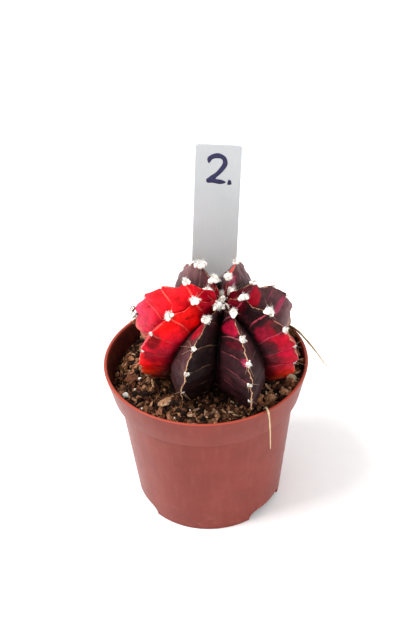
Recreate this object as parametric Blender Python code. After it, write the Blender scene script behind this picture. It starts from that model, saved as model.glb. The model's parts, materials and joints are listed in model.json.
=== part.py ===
"""Potted moon cactus: a ribbed cactus grown in soil in a round nursery pot, with a plant label.

Metres, +Z up. The origin is the centre of the pot's flat base. Azimuths run from the front
(-Y), positive towards +X, and heights are above the base.
"""

import math
from dataclasses import dataclass

import bmesh
import bpy
from mathutils import Matrix, Vector, noise
from mathutils.bvhtree import BVHTree

MM = 0.001
GAP = 0.35 * MM

# Pot
POT_HEIGHT = 44.5 * MM
RIM_RADIUS = 27.5 * MM
BAND_HEIGHT = 9.0 * MM
BAND_LOW_RADIUS = 25.6 * MM
BODY_TOP_RADIUS = 23.9 * MM
BASE_RADIUS = 19.9 * MM
WALL = 0.9 * MM
FLOOR = 1.3 * MM
POT_SEGMENTS = 64
NOTCH_HEIGHT = 2.8 * MM
NOTCH_INNER_RADIUS = 16.0 * MM
NOTCH_ARC = math.radians(40)
NOTCH_AZIMUTHS = [math.radians(52 + 120 * turn) for turn in range(3)]

# Cactus: its widest level, its lean and its shape below that level
BODY_CENTRE = Vector((4.0 * MM, -1.6 * MM, POT_HEIGHT + 10.8 * MM))
LEAN_FORWARD = math.radians(11.5)
LEAN_RIGHT = math.radians(4.1)
UPPER_POWER = 0.97
LOWER_POWER = 0.79
NECK_RADIUS = 9.2 * MM
UNDERSIDE_DROP = 13.7 * MM
ROOT_LENGTH = 8.0 * MM
ROOT_TIP_RADIUS = 4.0 * MM
CROWN_SINK = 3.4 * MM
CROWN_WIDTH = 4.8 * MM
GROOVE_REACH = 0.56
GROOVE_RISE = 0.80
FACE_BULGE = 0.05
CHIN_DEPTH = 0.045
SOIL_LINE_ANGLE = 150
ROW_ANGLES = [168, 159, SOIL_LINE_ANGLE, *range(142, 5, -8)]
FACE_STEPS = [0.0, 0.15, 0.5, 0.85, 1.0, 0.85, 0.5, 0.15]

# Soil: its level at the pot wall falls and rises round the pot
SOIL_LEVEL = POT_HEIGHT - 4.6 * MM
SOIL_SLOPE = 2.2 * MM
SOIL_HIGH_AZIMUTH = math.radians(115)
SOIL_RINGS = 8
SOIL_MOUND = 2.4
CRUMB_HEIGHT = 0.7 * MM
CRUMB_SIZE = 3.2 * MM

# Wool and spines
WOOL_RADIUS = 1.25 * MM
WOOL_SHRINK = 0.09
CROWN_WOOL_RADIUS = 3.1 * MM
SPINES = 4
SPINE_LENGTH = 3.0 * MM
SPINE_SPREAD = math.radians(52)

# Label
LABEL_WIDTH = 12.3 * MM
LABEL_LENGTH = 91.0 * MM
LABEL_POINT = 14.0 * MM
LABEL_THICKNESS = 0.6 * MM
LABEL_TOP = Vector((5.3 * MM, 26.7 * MM, POT_HEIGHT + 49.9 * MM))
LABEL_LEAN_BACK = math.radians(8.2)
LABEL_LEAN_RIGHT = math.radians(3.7)
LABEL_YAW = math.radians(-3.0)

STRAW_RADIUS = 0.35 * MM


@dataclass(frozen=True)
class Rib:
    """One rib: its azimuth, how far and how high its crest goes, and its row of areoles."""

    name: str
    azimuth: float
    reach: float
    rise: float
    first_areole: float
    areole_step: float
    areoles: int

    def areole_angles(self):
        return [self.first_areole + self.areole_step * i for i in range(self.areoles)]


# Angles in degrees (areoles measured from the plant's top), lengths in millimetres.
RIBS = [
    Rib("rib_1", -150.5, 21.2, 15.7, 12, 18.0, 5),
    Rib("rib_2", -102.0, 23.2, 16.4, 24, 20.5, 4),
    Rib("rib_3", -64.2, 23.5, 14.7, 19, 20.8, 5),
    Rib("rib_4", -25.8, 22.6, 13.6, 24, 24.6, 4),
    Rib("rib_5", 17.8, 25.0, 15.0, 18, 18.7, 4),
    Rib("rib_6", 62.8, 22.6, 15.7, 14, 19.6, 5),
    Rib("rib_7", 109.3, 20.7, 16.2, 23, 20.0, 5),
    Rib("rib_8", 162.6, 20.6, 15.7, 14, 22.5, 4),
]


@dataclass(frozen=True)
class Crumb:
    """A loose bit on the soil: where it lies and its three sizes in millimetres."""

    name: str
    x: float
    y: float
    length: float
    width: float
    height: float
    turn: float
    roughness: float
    material: str


CRUMBS = [
    Crumb("bark_flake_left", -20.2, -0.8, 4.4, 2.6, 1.1, 20, 0.30, "bark"),
    Crumb("root_strand_left", -22.2, 4.4, 6.6, 1.5, 1.3, 80, 0.45, "root"),
    Crumb("curled_chip", -10.7, -12.9, 5.6, 2.4, 1.5, 35, 0.35, "chip"),
    Crumb("pebble_right", 22.2, -7.6, 3.6, 2.7, 2.2, -20, 0.12, "stone"),
    Crumb("round_lump", 16.4, -14.6, 3.4, 2.8, 2.3, 10, 0.25, "chip"),
    Crumb("double_lump", 20.2, -12.6, 3.8, 2.2, 1.8, -40, 0.30, "chip"),
    Crumb("perlite_front", 3.2, -23.0, 2.0, 1.7, 1.4, 0, 0.25, "perlite"),
    Crumb("perlite_left", -21.6, -7.6, 1.7, 1.5, 1.3, 0, 0.25, "perlite"),
    Crumb("perlite_back", -8.5, 19.5, 2.2, 1.9, 1.6, 0, 0.25, "perlite"),
    Crumb("chip_front", -4.2, -22.2, 3.6, 2.0, 1.2, 15, 0.35, "chip"),
    Crumb("bark_flake_back", 12.6, 17.6, 4.2, 2.4, 1.1, 60, 0.30, "bark"),
    Crumb("root_debris", 21.0, 10.9, 12.5, 4.0, 5.4, 117, 0.35, "root"),
]


def clear_scene():
    for old in list(bpy.data.objects):
        bpy.data.objects.remove(old)


def finish(name, colour, roughness, metallic=0.0):
    """A Principled material of one colour."""
    material = bpy.data.materials.new(name)
    material.use_nodes = True
    shader = material.node_tree.nodes["Principled BSDF"]
    shader.inputs["Base Color"].default_value = (*colour, 1.0)
    shader.inputs["Roughness"].default_value = roughness
    shader.inputs["Metallic"].default_value = metallic
    return material


def make_finishes():
    return {
        "terracotta": finish("terracotta_plastic", (0.30, 0.075, 0.05), 0.35),
        "soil": finish("potting_soil", (0.06, 0.035, 0.02), 0.95),
        "flesh": finish("cactus_flesh", (0.30, 0.02, 0.04), 0.45),
        "wool": finish("areole_wool", (0.82, 0.78, 0.66), 0.95),
        "label": finish("label_plastic", (0.62, 0.66, 0.70), 0.40),
        "straw": finish("dry_straw", (0.55, 0.42, 0.24), 0.80),
        "bark": finish("bark", (0.28, 0.11, 0.06), 0.90),
        "root": finish("dry_root", (0.35, 0.24, 0.14), 0.95),
        "chip": finish("wood_chip", (0.52, 0.38, 0.22), 0.90),
        "stone": finish("pebble_stone", (0.62, 0.55, 0.44), 0.70),
        "perlite": finish("perlite", (0.85, 0.84, 0.80), 0.90),
    }


def around(azimuth, radius, height):
    """The point at this azimuth, radius and height from the axis."""
    return Vector((radius * math.sin(azimuth), -radius * math.cos(azimuth), height))


def add_object(name, mesh, material, smooth_angle=35):
    mesh.materials.append(material)
    mesh.shade_smooth()
    mesh.set_sharp_from_angle(angle=math.radians(smooth_angle))
    thing = bpy.data.objects.new(name, mesh)
    bpy.context.scene.collection.objects.link(thing)
    return thing


def skin_rings(name, start, rings, end):
    """A closed mesh: a pole, then loops of points joined one to the next, then a pole."""
    mesh = bpy.data.meshes.new(name)
    count = len(rings[0])
    points = [start, *[point for ring in rings for point in ring], end]
    last = len(points) - 1
    faces = []
    for j in range(count):
        k = (j + 1) % count
        faces.append((0, 1 + k, 1 + j))
        faces.append((last, last - count + j, last - count + k))
        for i in range(len(rings) - 1):
            low = 1 + i * count
            high = low + count
            faces.append((low + j, low + k, high + k, high + j))
    mesh.from_pydata([tuple(point) for point in points], [], faces)
    return mesh


def inner_radius(height):
    """The pot's inner radius at a height above its ledge."""
    share = (height - (POT_HEIGHT - BAND_HEIGHT)) / BAND_HEIGHT
    return BAND_LOW_RADIUS + (RIM_RADIUS - BAND_LOW_RADIUS) * share - WALL


def make_pot(material):
    """A tapered pot with a deeper rim band, a flat floor and three drain notches at its foot."""
    step = POT_HEIGHT - BAND_HEIGHT
    edge = 0.4 * MM
    profile = [
        (NOTCH_INNER_RADIUS, 0.0),
        (BASE_RADIUS - edge, 0.0),
        (BASE_RADIUS, edge),
        (BODY_TOP_RADIUS, step - edge),
        (BAND_LOW_RADIUS - edge, step),
        (BAND_LOW_RADIUS, step + edge),
        (RIM_RADIUS, POT_HEIGHT - edge),
        (RIM_RADIUS - 0.25 * MM, POT_HEIGHT),
        (RIM_RADIUS - WALL + 0.15 * MM, POT_HEIGHT),
        (inner_radius(POT_HEIGHT - edge), POT_HEIGHT - edge),
        (BAND_LOW_RADIUS - WALL, step + WALL),
        (BODY_TOP_RADIUS - WALL, step),
        (BASE_RADIUS - WALL, FLOOR + edge),
        (BASE_RADIUS - WALL - edge, FLOOR),
    ]
    turns = [math.tau * j / POT_SEGMENTS for j in range(POT_SEGMENTS)]
    rings = [[around(turn, radius, height) for turn in turns] for radius, height in profile]
    mesh = skin_rings("plant_pot", Vector((0, 0, 0)), rings, Vector((0, 0, FLOOR)))
    pot = add_object("plant_pot", mesh, material)
    for number, azimuth in enumerate(NOTCH_AZIMUTHS):
        cut_away(pot, make_notch_cutter(f"notch_cutter_{number}", azimuth))
    return pot


def make_notch_cutter(name, azimuth):
    """An arched block across the floor's edge and the wall's foot."""
    steps = 10
    rings = []
    outer = BASE_RADIUS + 2 * MM
    for i in range(steps + 1):
        share = 2 * i / steps - 1
        turn = azimuth + share * NOTCH_ARC / 2
        top = NOTCH_HEIGHT * (1 - 0.55 * share**8)
        corners = [(NOTCH_INNER_RADIUS, -MM), (outer, -MM), (outer, top), (NOTCH_INNER_RADIUS, top)]
        rings.append([around(turn, radius, height) for radius, height in corners])
    first = sum(rings[0], Vector()) / 4
    last = sum(rings[-1], Vector()) / 4
    mesh = skin_rings(name, first, rings, last)
    return as_cutter(name, mesh)


def as_cutter(name, mesh):
    """A helper object that is left out of the part, with its faces turned outwards."""
    shape = bmesh.new()
    shape.from_mesh(mesh)
    bmesh.ops.recalc_face_normals(shape, faces=shape.faces)
    shape.to_mesh(mesh)
    shape.free()
    cutter = bpy.data.objects.new(name, mesh)
    bpy.context.scene.collection.objects.link(cutter)
    cutter.hide_render = True
    cutter.display_type = "WIRE"
    return cutter


def cut_away(thing, cutter):
    cut = thing.modifiers.new(cutter.name, "BOOLEAN")
    cut.operation = "DIFFERENCE"
    cut.solver = "EXACT"
    cut.object = cutter


def lean():
    """The turn from the plant's own frame, with its axis upright, to its place."""
    turn = Matrix.Rotation(LEAN_RIGHT, 4, "Y") @ Matrix.Rotation(LEAN_FORWARD, 4, "X")
    return Matrix.Translation(BODY_CENTRE) @ turn


def outline(angle, reach, rise):
    """Radius and height on a rib's crest or a groove, at an angle from the plant's top."""
    turn = math.radians(angle)
    if angle <= 90:
        radius = reach * math.sin(turn) ** UPPER_POWER
        height = rise * math.cos(turn) ** UPPER_POWER
        return radius, height - CROWN_SINK * math.exp(-((radius / CROWN_WIDTH) ** 2))
    narrow = math.sin(turn) ** LOWER_POWER
    drop = (-math.cos(turn)) ** LOWER_POWER
    return NECK_RADIUS + (reach - NECK_RADIUS) * narrow, -UNDERSIDE_DROP * drop


def crest_point(rib, angle):
    """A point on a rib's crest, which swells into a chin between its areoles."""
    radius, height = outline(angle, rib.reach * MM, rib.rise * MM)
    phase = math.tau * (angle - rib.first_areole) / rib.areole_step
    fade = math.sin(math.radians(min(angle, 180))) ** 2
    swell = 1 - CHIN_DEPTH * fade * (0.5 + 0.5 * math.cos(phase))
    return around(math.radians(rib.azimuth), radius * swell, height * swell)


def groove_point(rib, following, angle):
    """A point in the groove between a rib and the one after it."""
    span = (following.azimuth - rib.azimuth) % 360
    azimuth = math.radians(rib.azimuth + span / 2)
    reach = GROOVE_REACH * (rib.reach + following.reach) / 2 * MM
    rise = GROOVE_RISE * (rib.rise + following.rise) / 2 * MM
    radius, height = outline(angle, max(reach, NECK_RADIUS), rise)
    return around(azimuth, radius, height)


def body_row(angle):
    """One level line round the plant: crest, flat faces, groove, and so on."""
    row = []
    half = len(FACE_STEPS) // 2
    for i, rib in enumerate(RIBS):
        following = RIBS[(i + 1) % len(RIBS)]
        groove = groove_point(rib, following, angle)
        for j, share in enumerate(FACE_STEPS):
            crest = crest_point(rib if j <= half else following, angle)
            outwards = Vector((crest.x + groove.x, crest.y + groove.y, 0)) / 2
            bulge = outwards * FACE_BULGE * 4 * share * (1 - share)
            row.append(crest.lerp(groove, share) + bulge)
    return row


def root_rows(row):
    """The body's lowest line drawn in and down to the end of the root, listed tip first."""
    floor = -UNDERSIDE_DROP - ROOT_LENGTH
    rows = []
    for share in (0.35, 0.7, 1.0):
        radius = NECK_RADIUS + (ROOT_TIP_RADIUS - NECK_RADIUS) * share
        height = -UNDERSIDE_DROP + (floor + UNDERSIDE_DROP) * share
        flat = [Vector((p.x, p.y, 0)).normalized() for p in row]
        rows.insert(0, [radius * f + Vector((0, 0, height)) for f in flat])
    return rows


def make_cactus(material):
    """The plant's body: ribs with chins, grooves, a sunken crown and a short root."""
    place = lean()
    body_rows = [body_row(angle) for angle in ROW_ANGLES]
    local_rows = root_rows(body_rows[0]) + body_rows
    rows = [[place @ point for point in row] for row in local_rows]
    tip = place @ Vector((0, 0, -UNDERSIDE_DROP - ROOT_LENGTH))
    crown_height = outline(0, 0, GROOVE_RISE * RIBS[0].rise * MM)[1]
    mesh = skin_rings("cactus_body", tip, rows, place @ Vector((0, 0, crown_height)))
    return add_object("cactus_body", mesh, material, 50), rows


def wall_point(origin, direction, radius, height):
    """Where a level line from the plant's axis meets a circle about the pot's axis."""
    along = origin.x * direction.x + origin.y * direction.y
    square = origin.x**2 + origin.y**2 - radius**2
    distance = -along + math.sqrt(along**2 - square)
    return Vector((origin.x + distance * direction.x, origin.y + distance * direction.y, height))


def soil_bump(point):
    """The soil's uneven height at a place."""
    coarse = noise.noise(Vector((point.x, point.y, 0)) / (2.4 * CRUMB_SIZE))
    fine = noise.noise(Vector((point.x, point.y, 0.01)) / CRUMB_SIZE)
    return CRUMB_HEIGHT * (1.2 * coarse + fine)


def make_soil(material, cactus, rows, label_cutter):
    """Soil filling the pot, open for the plant's underside and root, and for the label."""
    normals = [vertex.normal.copy() for vertex in cactus.data.vertices]
    count = len(rows[0])
    buried = ROW_ANGLES.index(SOIL_LINE_ANGLE) + len(rows) - len(ROW_ANGLES) + 1
    hollow = []
    for i in range(buried):
        first = 1 + i * count
        hollow.append([rows[i][j] + 1.4 * GAP * normals[first + j] for j in range(count)])
    soil_line = hollow[-1]
    middle = sum(soil_line, Vector()) / count
    directions = [(Vector((p.x, p.y, 0)) - Vector((middle.x, middle.y, 0))).normalized() for p in soil_line]
    step = POT_HEIGHT - BAND_HEIGHT
    walls = [
        (BASE_RADIUS - WALL - 2 * GAP, FLOOR + GAP),
        (BODY_TOP_RADIUS - WALL - 1.4 * GAP, step + GAP / 2),
        (BAND_LOW_RADIUS - WALL - 1.4 * GAP, step + WALL + GAP),
    ]
    outer = [[wall_point(middle, d, radius, height) for d in directions] for radius, height in walls]
    edge = []
    for direction in directions:
        azimuth = math.atan2(direction.x, -direction.y)
        height = SOIL_LEVEL + SOIL_SLOPE * math.cos(azimuth - SOIL_HIGH_AZIMUTH)
        edge.append(wall_point(middle, direction, inner_radius(height) - 1.2 * GAP, height))
    surface = []
    for i in range(1, SOIL_RINGS):
        share = i / SOIL_RINGS
        ring = []
        for start, stop in zip(edge, soil_line):
            point = start.lerp(stop, share)
            point.z = start.z + (stop.z - start.z) * share**SOIL_MOUND
            point.z += soil_bump(point) * math.sin(math.pi * share) ** 0.5
            ring.append(point)
        surface.append(ring)
    rings = [*outer, edge, *surface, *reversed(hollow)]
    bottom = Vector((0, 0, FLOOR + GAP))
    top = lean() @ Vector((0, 0, -UNDERSIDE_DROP - ROOT_LENGTH - GAP))
    soil = add_object("potting_soil", skin_rings("potting_soil", bottom, rings, top), material)
    cut_away(soil, label_cutter)
    return soil


class Ground:
    """A finished surface that other pieces are seated on."""

    def __init__(self, thing):
        graph = bpy.context.evaluated_depsgraph_get()
        solid = thing.evaluated_get(graph)
        self.tree = BVHTree.FromObject(thing, graph)
        self.points = [vertex.co.copy() for vertex in solid.data.vertices]


def seat(mesh, ground, towards, reach=40 * MM):
    """Moves a mesh along a direction until it lies one gap from the ground."""
    own = BVHTree.FromPolygons([v.co for v in mesh.vertices], [p.vertices for p in mesh.polygons])
    clear = []
    for vertex in mesh.vertices:
        hit = ground.tree.ray_cast(vertex.co - reach * towards, towards)
        if hit[0] is not None:
            clear.append(hit[3] - reach)
    for point in ground.points:
        hit = own.ray_cast(point - reach * towards, towards)
        if hit[0] is not None:
            back = own.ray_cast(point + reach * towards, -towards)
            clear.append(back[3] - reach)
    mesh.transform(Matrix.Translation(towards * (min(clear) - GAP)))


def wool_mesh(name, radius, flatness, seed):
    """A soft lump of wool about the origin, flatter along Z."""
    shape = bmesh.new()
    bmesh.ops.create_icosphere(shape, subdivisions=2, radius=radius)
    for vertex in shape.verts:
        lump = noise.noise(vertex.co / radius * 1.3 + Vector((seed, 0, 0)))
        vertex.co *= 1 + 0.18 * lump
        vertex.co.z *= flatness
    mesh = bpy.data.meshes.new(name)
    shape.to_mesh(mesh)
    shape.free()
    return mesh


def grow_spines(mesh, seed):
    """Draws some faces out into thin spines that spread round +Z."""
    shape = bmesh.new()
    shape.from_mesh(mesh)
    for i in range(SPINES):
        turn = math.tau * (i + 0.35 * math.sin(seed + 2.1 * i)) / SPINES + seed
        tilt = SPINE_SPREAD * (1 + 0.25 * math.sin(3 * seed + i))
        way = Vector((math.sin(tilt) * math.cos(turn), math.sin(tilt) * math.sin(turn), math.cos(tilt)))
        shape.faces.ensure_lookup_table()
        shape.normal_update()
        face = max(shape.faces, key=lambda f: f.normal.dot(way) + 10 * f.calc_center_median().dot(way))
        poked = bmesh.ops.poke(shape, faces=[face])
        length = SPINE_LENGTH * (0.75 + 0.25 * math.cos(5 * seed + 2 * i))
        poked["verts"][0].co = way * length
    shape.to_mesh(mesh)
    shape.free()


def make_areoles(material, body):
    """One woolly tuft with its spines on each areole of each rib."""
    place = lean()
    for rib in RIBS:
        for number, angle in enumerate(rib.areole_angles(), start=1):
            name = f"areole_{rib.name}_{number}"
            seed = rib.azimuth + 7.3 * number
            radius = WOOL_RADIUS * (1 - WOOL_SHRINK * (number - 1))
            mesh = wool_mesh(name, radius, 0.65, seed)
            if number > 1:
                grow_spines(mesh, seed)
            point = place @ crest_point(rib, angle)
            slope = (place @ crest_point(rib, angle - 4)) - (place @ crest_point(rib, angle + 4))
            side = Vector((math.cos(math.radians(rib.azimuth)), math.sin(math.radians(rib.azimuth)), 0))
            normal = side.cross(slope).normalized()
            turn = normal.to_track_quat("Z", "Y").to_matrix().to_4x4()
            mesh.transform(Matrix.Translation(point + normal * 2 * MM) @ turn)
            seat(mesh, body, -normal)
            add_object(name, mesh, material, 60)


def make_crown_wool(material, body):
    """The woolly growing point in the sunken crown."""
    place = lean()
    mesh = wool_mesh("crown_wool", CROWN_WOOL_RADIUS, 0.55, 3.7)
    mesh.transform(place @ Matrix.Translation((0, 0, 20 * MM)))
    down = (place.to_3x3() @ Vector((0, 0, -1))).normalized()
    seat(mesh, body, down)
    return add_object("crown_wool", mesh, material, 60)


def label_outline(margin):
    """The label's face, from its top edge down to its point, widened by a margin."""
    half = LABEL_WIDTH / 2 + margin
    corner = 0.6 * MM
    top = margin
    return [
        (-half + corner, top),
        (-half, top - corner),
        (-half, -LABEL_LENGTH + LABEL_POINT),
        (-1.2 * MM - margin, -LABEL_LENGTH - margin),
        (1.2 * MM + margin, -LABEL_LENGTH - margin),
        (half, -LABEL_LENGTH + LABEL_POINT),
        (half, top - corner),
        (half - corner, top),
    ]


def label_mesh(name, margin):
    """The label as a flat plate, standing in its place."""
    shape = bmesh.new()
    depth = LABEL_THICKNESS / 2 + margin
    corners = [shape.verts.new((x, -depth, z)) for x, z in label_outline(margin)]
    face = shape.faces.new(corners)
    pushed = bmesh.ops.extrude_face_region(shape, geom=[face])
    moved = [item for item in pushed["geom"] if isinstance(item, bmesh.types.BMVert)]
    bmesh.ops.translate(shape, verts=moved, vec=(0, 2 * depth, 0))
    bmesh.ops.recalc_face_normals(shape, faces=shape.faces)
    mesh = bpy.data.meshes.new(name)
    shape.to_mesh(mesh)
    shape.free()
    back = Matrix.Rotation(-LABEL_LEAN_BACK, 4, "X")
    turn = Matrix.Rotation(LABEL_LEAN_RIGHT, 4, "Y") @ back @ Matrix.Rotation(LABEL_YAW, 4, "Z")
    mesh.transform(Matrix.Translation(LABEL_TOP) @ turn)
    return mesh


def crumb_mesh(crumb):
    """A rough rounded bit about the origin."""
    shape = bmesh.new()
    bmesh.ops.create_icosphere(shape, subdivisions=2, radius=1.0)
    for vertex in shape.verts:
        lump = noise.noise(vertex.co * 1.7 + Vector((crumb.x, crumb.y, crumb.turn)))
        vertex.co *= 1 + crumb.roughness * lump
        vertex.co.x *= crumb.length * MM / 2
        vertex.co.y *= crumb.width * MM / 2
        vertex.co.z *= crumb.height * MM / 2
    mesh = bpy.data.meshes.new(crumb.name)
    shape.to_mesh(mesh)
    shape.free()
    place = Matrix.Translation((crumb.x * MM, crumb.y * MM, POT_HEIGHT + 20 * MM))
    mesh.transform(place @ Matrix.Rotation(math.radians(crumb.turn), 4, "Z"))
    return mesh


def make_crumbs(finishes, soil):
    """Bark flakes, chips, perlite, a pebble and root debris lying on the soil."""
    for crumb in CRUMBS:
        mesh = crumb_mesh(crumb)
        seat(mesh, soil, Vector((0, 0, -1)))
        add_object(crumb.name, mesh, finishes[crumb.material], 60)


def make_straw(name, points, material):
    """A thin dry stem along a smooth curve through these points, in millimetres."""
    curve = bpy.data.curves.new(name, "CURVE")
    curve.dimensions = "3D"
    curve.bevel_depth = STRAW_RADIUS
    curve.bevel_resolution = 1
    curve.use_fill_caps = True
    curve.resolution_u = 4
    spline = curve.splines.new("BEZIER")
    spline.bezier_points.add(len(points) - 1)
    for knot, point in zip(spline.bezier_points, points):
        knot.co = Vector(point) * MM
        knot.handle_left_type = "AUTO"
        knot.handle_right_type = "AUTO"
    curve.materials.append(material)
    straw = bpy.data.objects.new(name, curve)
    bpy.context.scene.collection.objects.link(straw)
    return straw


def make_straws(material):
    """A stem hanging over the front of the rim, and one that sticks out at the right."""
    rim = POT_HEIGHT / MM
    front = [
        (14.4, -18.6, rim - 3.0),
        (14.8, -21.0, rim - 0.4),
        (15.05, -22.5, rim + 0.85),
        (15.6, -23.7, rim - 0.6),
        (15.9, -23.7, rim - 6.0),
        (16.0, -23.4, rim - 12.2),
    ]
    right = [
        (22.6, 13.2, rim + 0.6),
        (25.2, 9.6, rim + 1.1),
        (27.0, 6.6, rim + 0.75),
        (29.6, 1.9, rim - 0.2),
        (32.3, -2.6, rim - 2.2),
    ]
    make_straw("straw_front", front, material)
    make_straw("straw_right", right, material)


def main():
    clear_scene()
    finishes = make_finishes()
    make_pot(finishes["terracotta"])
    cactus, rows = make_cactus(finishes["flesh"])
    add_object("plant_label", label_mesh("plant_label", 0.0), finishes["label"])
    slot = as_cutter("label_slot_cutter", label_mesh("label_slot_cutter", GAP))
    soil = make_soil(finishes["soil"], cactus, rows, slot)
    body = Ground(cactus)
    make_crown_wool(finishes["wool"], body)
    make_areoles(finishes["wool"], body)
    make_crumbs(finishes, Ground(soil))
    make_straws(finishes["straw"])


main()
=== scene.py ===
"""Looks of a potted moon cactus: fine surfaces, finishes, studio light and camera.

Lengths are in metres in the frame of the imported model: +Z up, the front towards -Y, and the
origin at the centre of the pot's base. Azimuths run from the front, positive towards +X.
"""

import json
import logging
import math
from dataclasses import dataclass, field
from enum import Enum

import bmesh
import bpy
import numpy as np
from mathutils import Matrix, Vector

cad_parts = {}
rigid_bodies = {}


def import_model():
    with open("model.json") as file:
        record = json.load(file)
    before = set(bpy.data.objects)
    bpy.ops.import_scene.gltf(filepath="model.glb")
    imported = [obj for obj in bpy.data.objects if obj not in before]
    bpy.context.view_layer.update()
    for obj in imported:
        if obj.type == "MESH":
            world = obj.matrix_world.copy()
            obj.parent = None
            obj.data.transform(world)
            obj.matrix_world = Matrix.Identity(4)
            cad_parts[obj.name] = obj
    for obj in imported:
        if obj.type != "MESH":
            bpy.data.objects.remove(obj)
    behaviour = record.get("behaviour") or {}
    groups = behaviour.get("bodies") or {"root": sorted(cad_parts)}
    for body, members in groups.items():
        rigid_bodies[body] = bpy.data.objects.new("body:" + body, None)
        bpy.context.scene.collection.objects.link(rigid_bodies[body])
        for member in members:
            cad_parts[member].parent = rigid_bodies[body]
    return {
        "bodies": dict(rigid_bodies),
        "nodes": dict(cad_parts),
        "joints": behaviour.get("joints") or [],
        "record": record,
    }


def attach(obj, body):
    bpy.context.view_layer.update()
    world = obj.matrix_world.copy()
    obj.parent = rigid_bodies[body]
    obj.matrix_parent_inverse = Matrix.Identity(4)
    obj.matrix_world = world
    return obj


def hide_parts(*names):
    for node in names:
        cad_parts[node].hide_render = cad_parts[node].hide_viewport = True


LOG = logging.getLogger("potted_cactus")
MM = 0.001
Array = np.ndarray
Colour = tuple[float, float, float]
BODY = "root"
UP = np.array([0, 0, 1.0])
LEVEL = np.array([1, 1, 0])


def srgb(red: float, green: float, blue: float) -> Colour:
    """Turns a display colour of 0 to 255 into a linear one.

    Args:
        red: Red, 0 to 255.
        green: Green, 0 to 255.
        blue: Blue, 0 to 255.

    Returns:
        The linear colour, 0 to 1.
    """
    shares = [channel / 255 for channel in (red, green, blue)]
    return tuple(s / 12.92 if s <= 0.04045 else ((s + 0.055) / 1.055) ** 2.4 for s in shares)


# ---------------------------------------------------------------- numbers on arrays


def value_noise(points: Array, size: float, seed: int) -> Array:
    """Smooth random values: a lattice of random numbers, blended by a smooth step on each axis.

    Args:
        points: Places, shaped (..., 3).
        size: The lattice's pitch.
        seed: Picks the lattice.

    Returns:
        Values of -1 to 1, shaped (...).
    """
    cells = 32
    lattice = np.random.default_rng(seed).random((cells, cells, cells)) * 2 - 1
    scaled = np.asarray(points) / size
    base = np.floor(scaled).astype(int)
    part = scaled - base
    part = part * part * (3 - 2 * part)
    total = np.zeros(scaled.shape[:-1])
    for corner in np.ndindex(2, 2, 2):
        index = (base + np.array(corner)) % cells
        weight = np.prod(np.where(corner, part, 1 - part), axis=-1)
        total += weight * lattice[index[..., 0], index[..., 1], index[..., 2]]
    return total


def layered_noise(points: Array, size: float, seed: int, layers: int = 4) -> Array:
    """Value noise in layers, each half the size and half the strength of the last.

    Args:
        points: Places, shaped (..., 3).
        size: The largest layer's pitch.
        seed: Picks the lattices.
        layers: How many layers.

    Returns:
        Values of about -1 to 1, shaped (...).
    """
    total = np.zeros(np.shape(points)[:-1])
    for layer in range(layers):
        total += value_noise(points, size / 2**layer, seed + layer) / 2**layer
    return total / 1.6


def smooth_step(low: float, high: float, values: Array) -> Array:
    """A smooth rise from 0 to 1.

    Args:
        low: Where it starts.
        high: Where it ends.
        values: The places that it is read at.

    Returns:
        The rise at each place.
    """
    share = np.clip((values - low) / (high - low), 0, 1)
    return share * share * (3 - 2 * share)


def mixed(first: Array, second: Array, share: Array) -> Array:
    """Two sets of colours or points blended by a share for each place."""
    return first + (second - first) * np.asarray(share)[..., None]


def around(azimuth: Array, radius: Array, height: Array) -> Array:
    """Points at an azimuth, a radius and a height from the axis."""
    parts = np.broadcast_arrays(radius * np.sin(azimuth), -radius * np.cos(azimuth), height)
    return np.stack(parts, axis=-1)


def random_turns(count: int, dice: np.random.Generator) -> Array:
    """Even random rotations, from random unit quaternions.

    Args:
        count: How many.
        dice: The seeded source of chance.

    Returns:
        Rotation matrices, shaped (count, 3, 3).
    """
    quad = dice.normal(size=(count, 4))
    w, x, y, z = (quad / np.linalg.norm(quad, axis=1, keepdims=True)).T
    rows = [
        [1 - 2 * (y * y + z * z), 2 * (x * y - w * z), 2 * (x * z + w * y)],
        [2 * (x * y + w * z), 1 - 2 * (x * x + z * z), 2 * (y * z - w * x)],
        [2 * (x * z - w * y), 2 * (y * z + w * x), 1 - 2 * (x * x + y * y)],
    ]
    return np.moveaxis(np.array(rows), 2, 0)


# ---------------------------------------------------------------- meshes from arrays


@dataclass
class Shape:
    """A mesh as arrays: points, faces of three and four corners, and one tone for each point."""

    points: Array
    triangles: Array = field(default_factory=lambda: np.zeros((0, 3), int))
    quads: Array = field(default_factory=lambda: np.zeros((0, 4), int))
    tones: Array | None = None

    def with_tone(self, tone: Array | float) -> "Shape":
        """This shape with a tone for each point, or one for all."""
        self.tones = np.broadcast_to(np.asarray(tone, float), (len(self.points),)).copy()
        return self


def joined(shapes: list[Shape]) -> Shape:
    """Several shapes as one.

    Args:
        shapes: The shapes, in order.

    Returns:
        One shape that holds them all.
    """
    starts = np.cumsum([0, *[len(shape.points) for shape in shapes]])
    tones = [np.zeros(len(s.points)) if s.tones is None else s.tones for s in shapes]
    return Shape(
        np.concatenate([shape.points for shape in shapes]),
        np.concatenate([shape.triangles + start for shape, start in zip(shapes, starts)]),
        np.concatenate([shape.quads + start for shape, start in zip(shapes, starts)]),
        np.concatenate(tones),
    )


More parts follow.
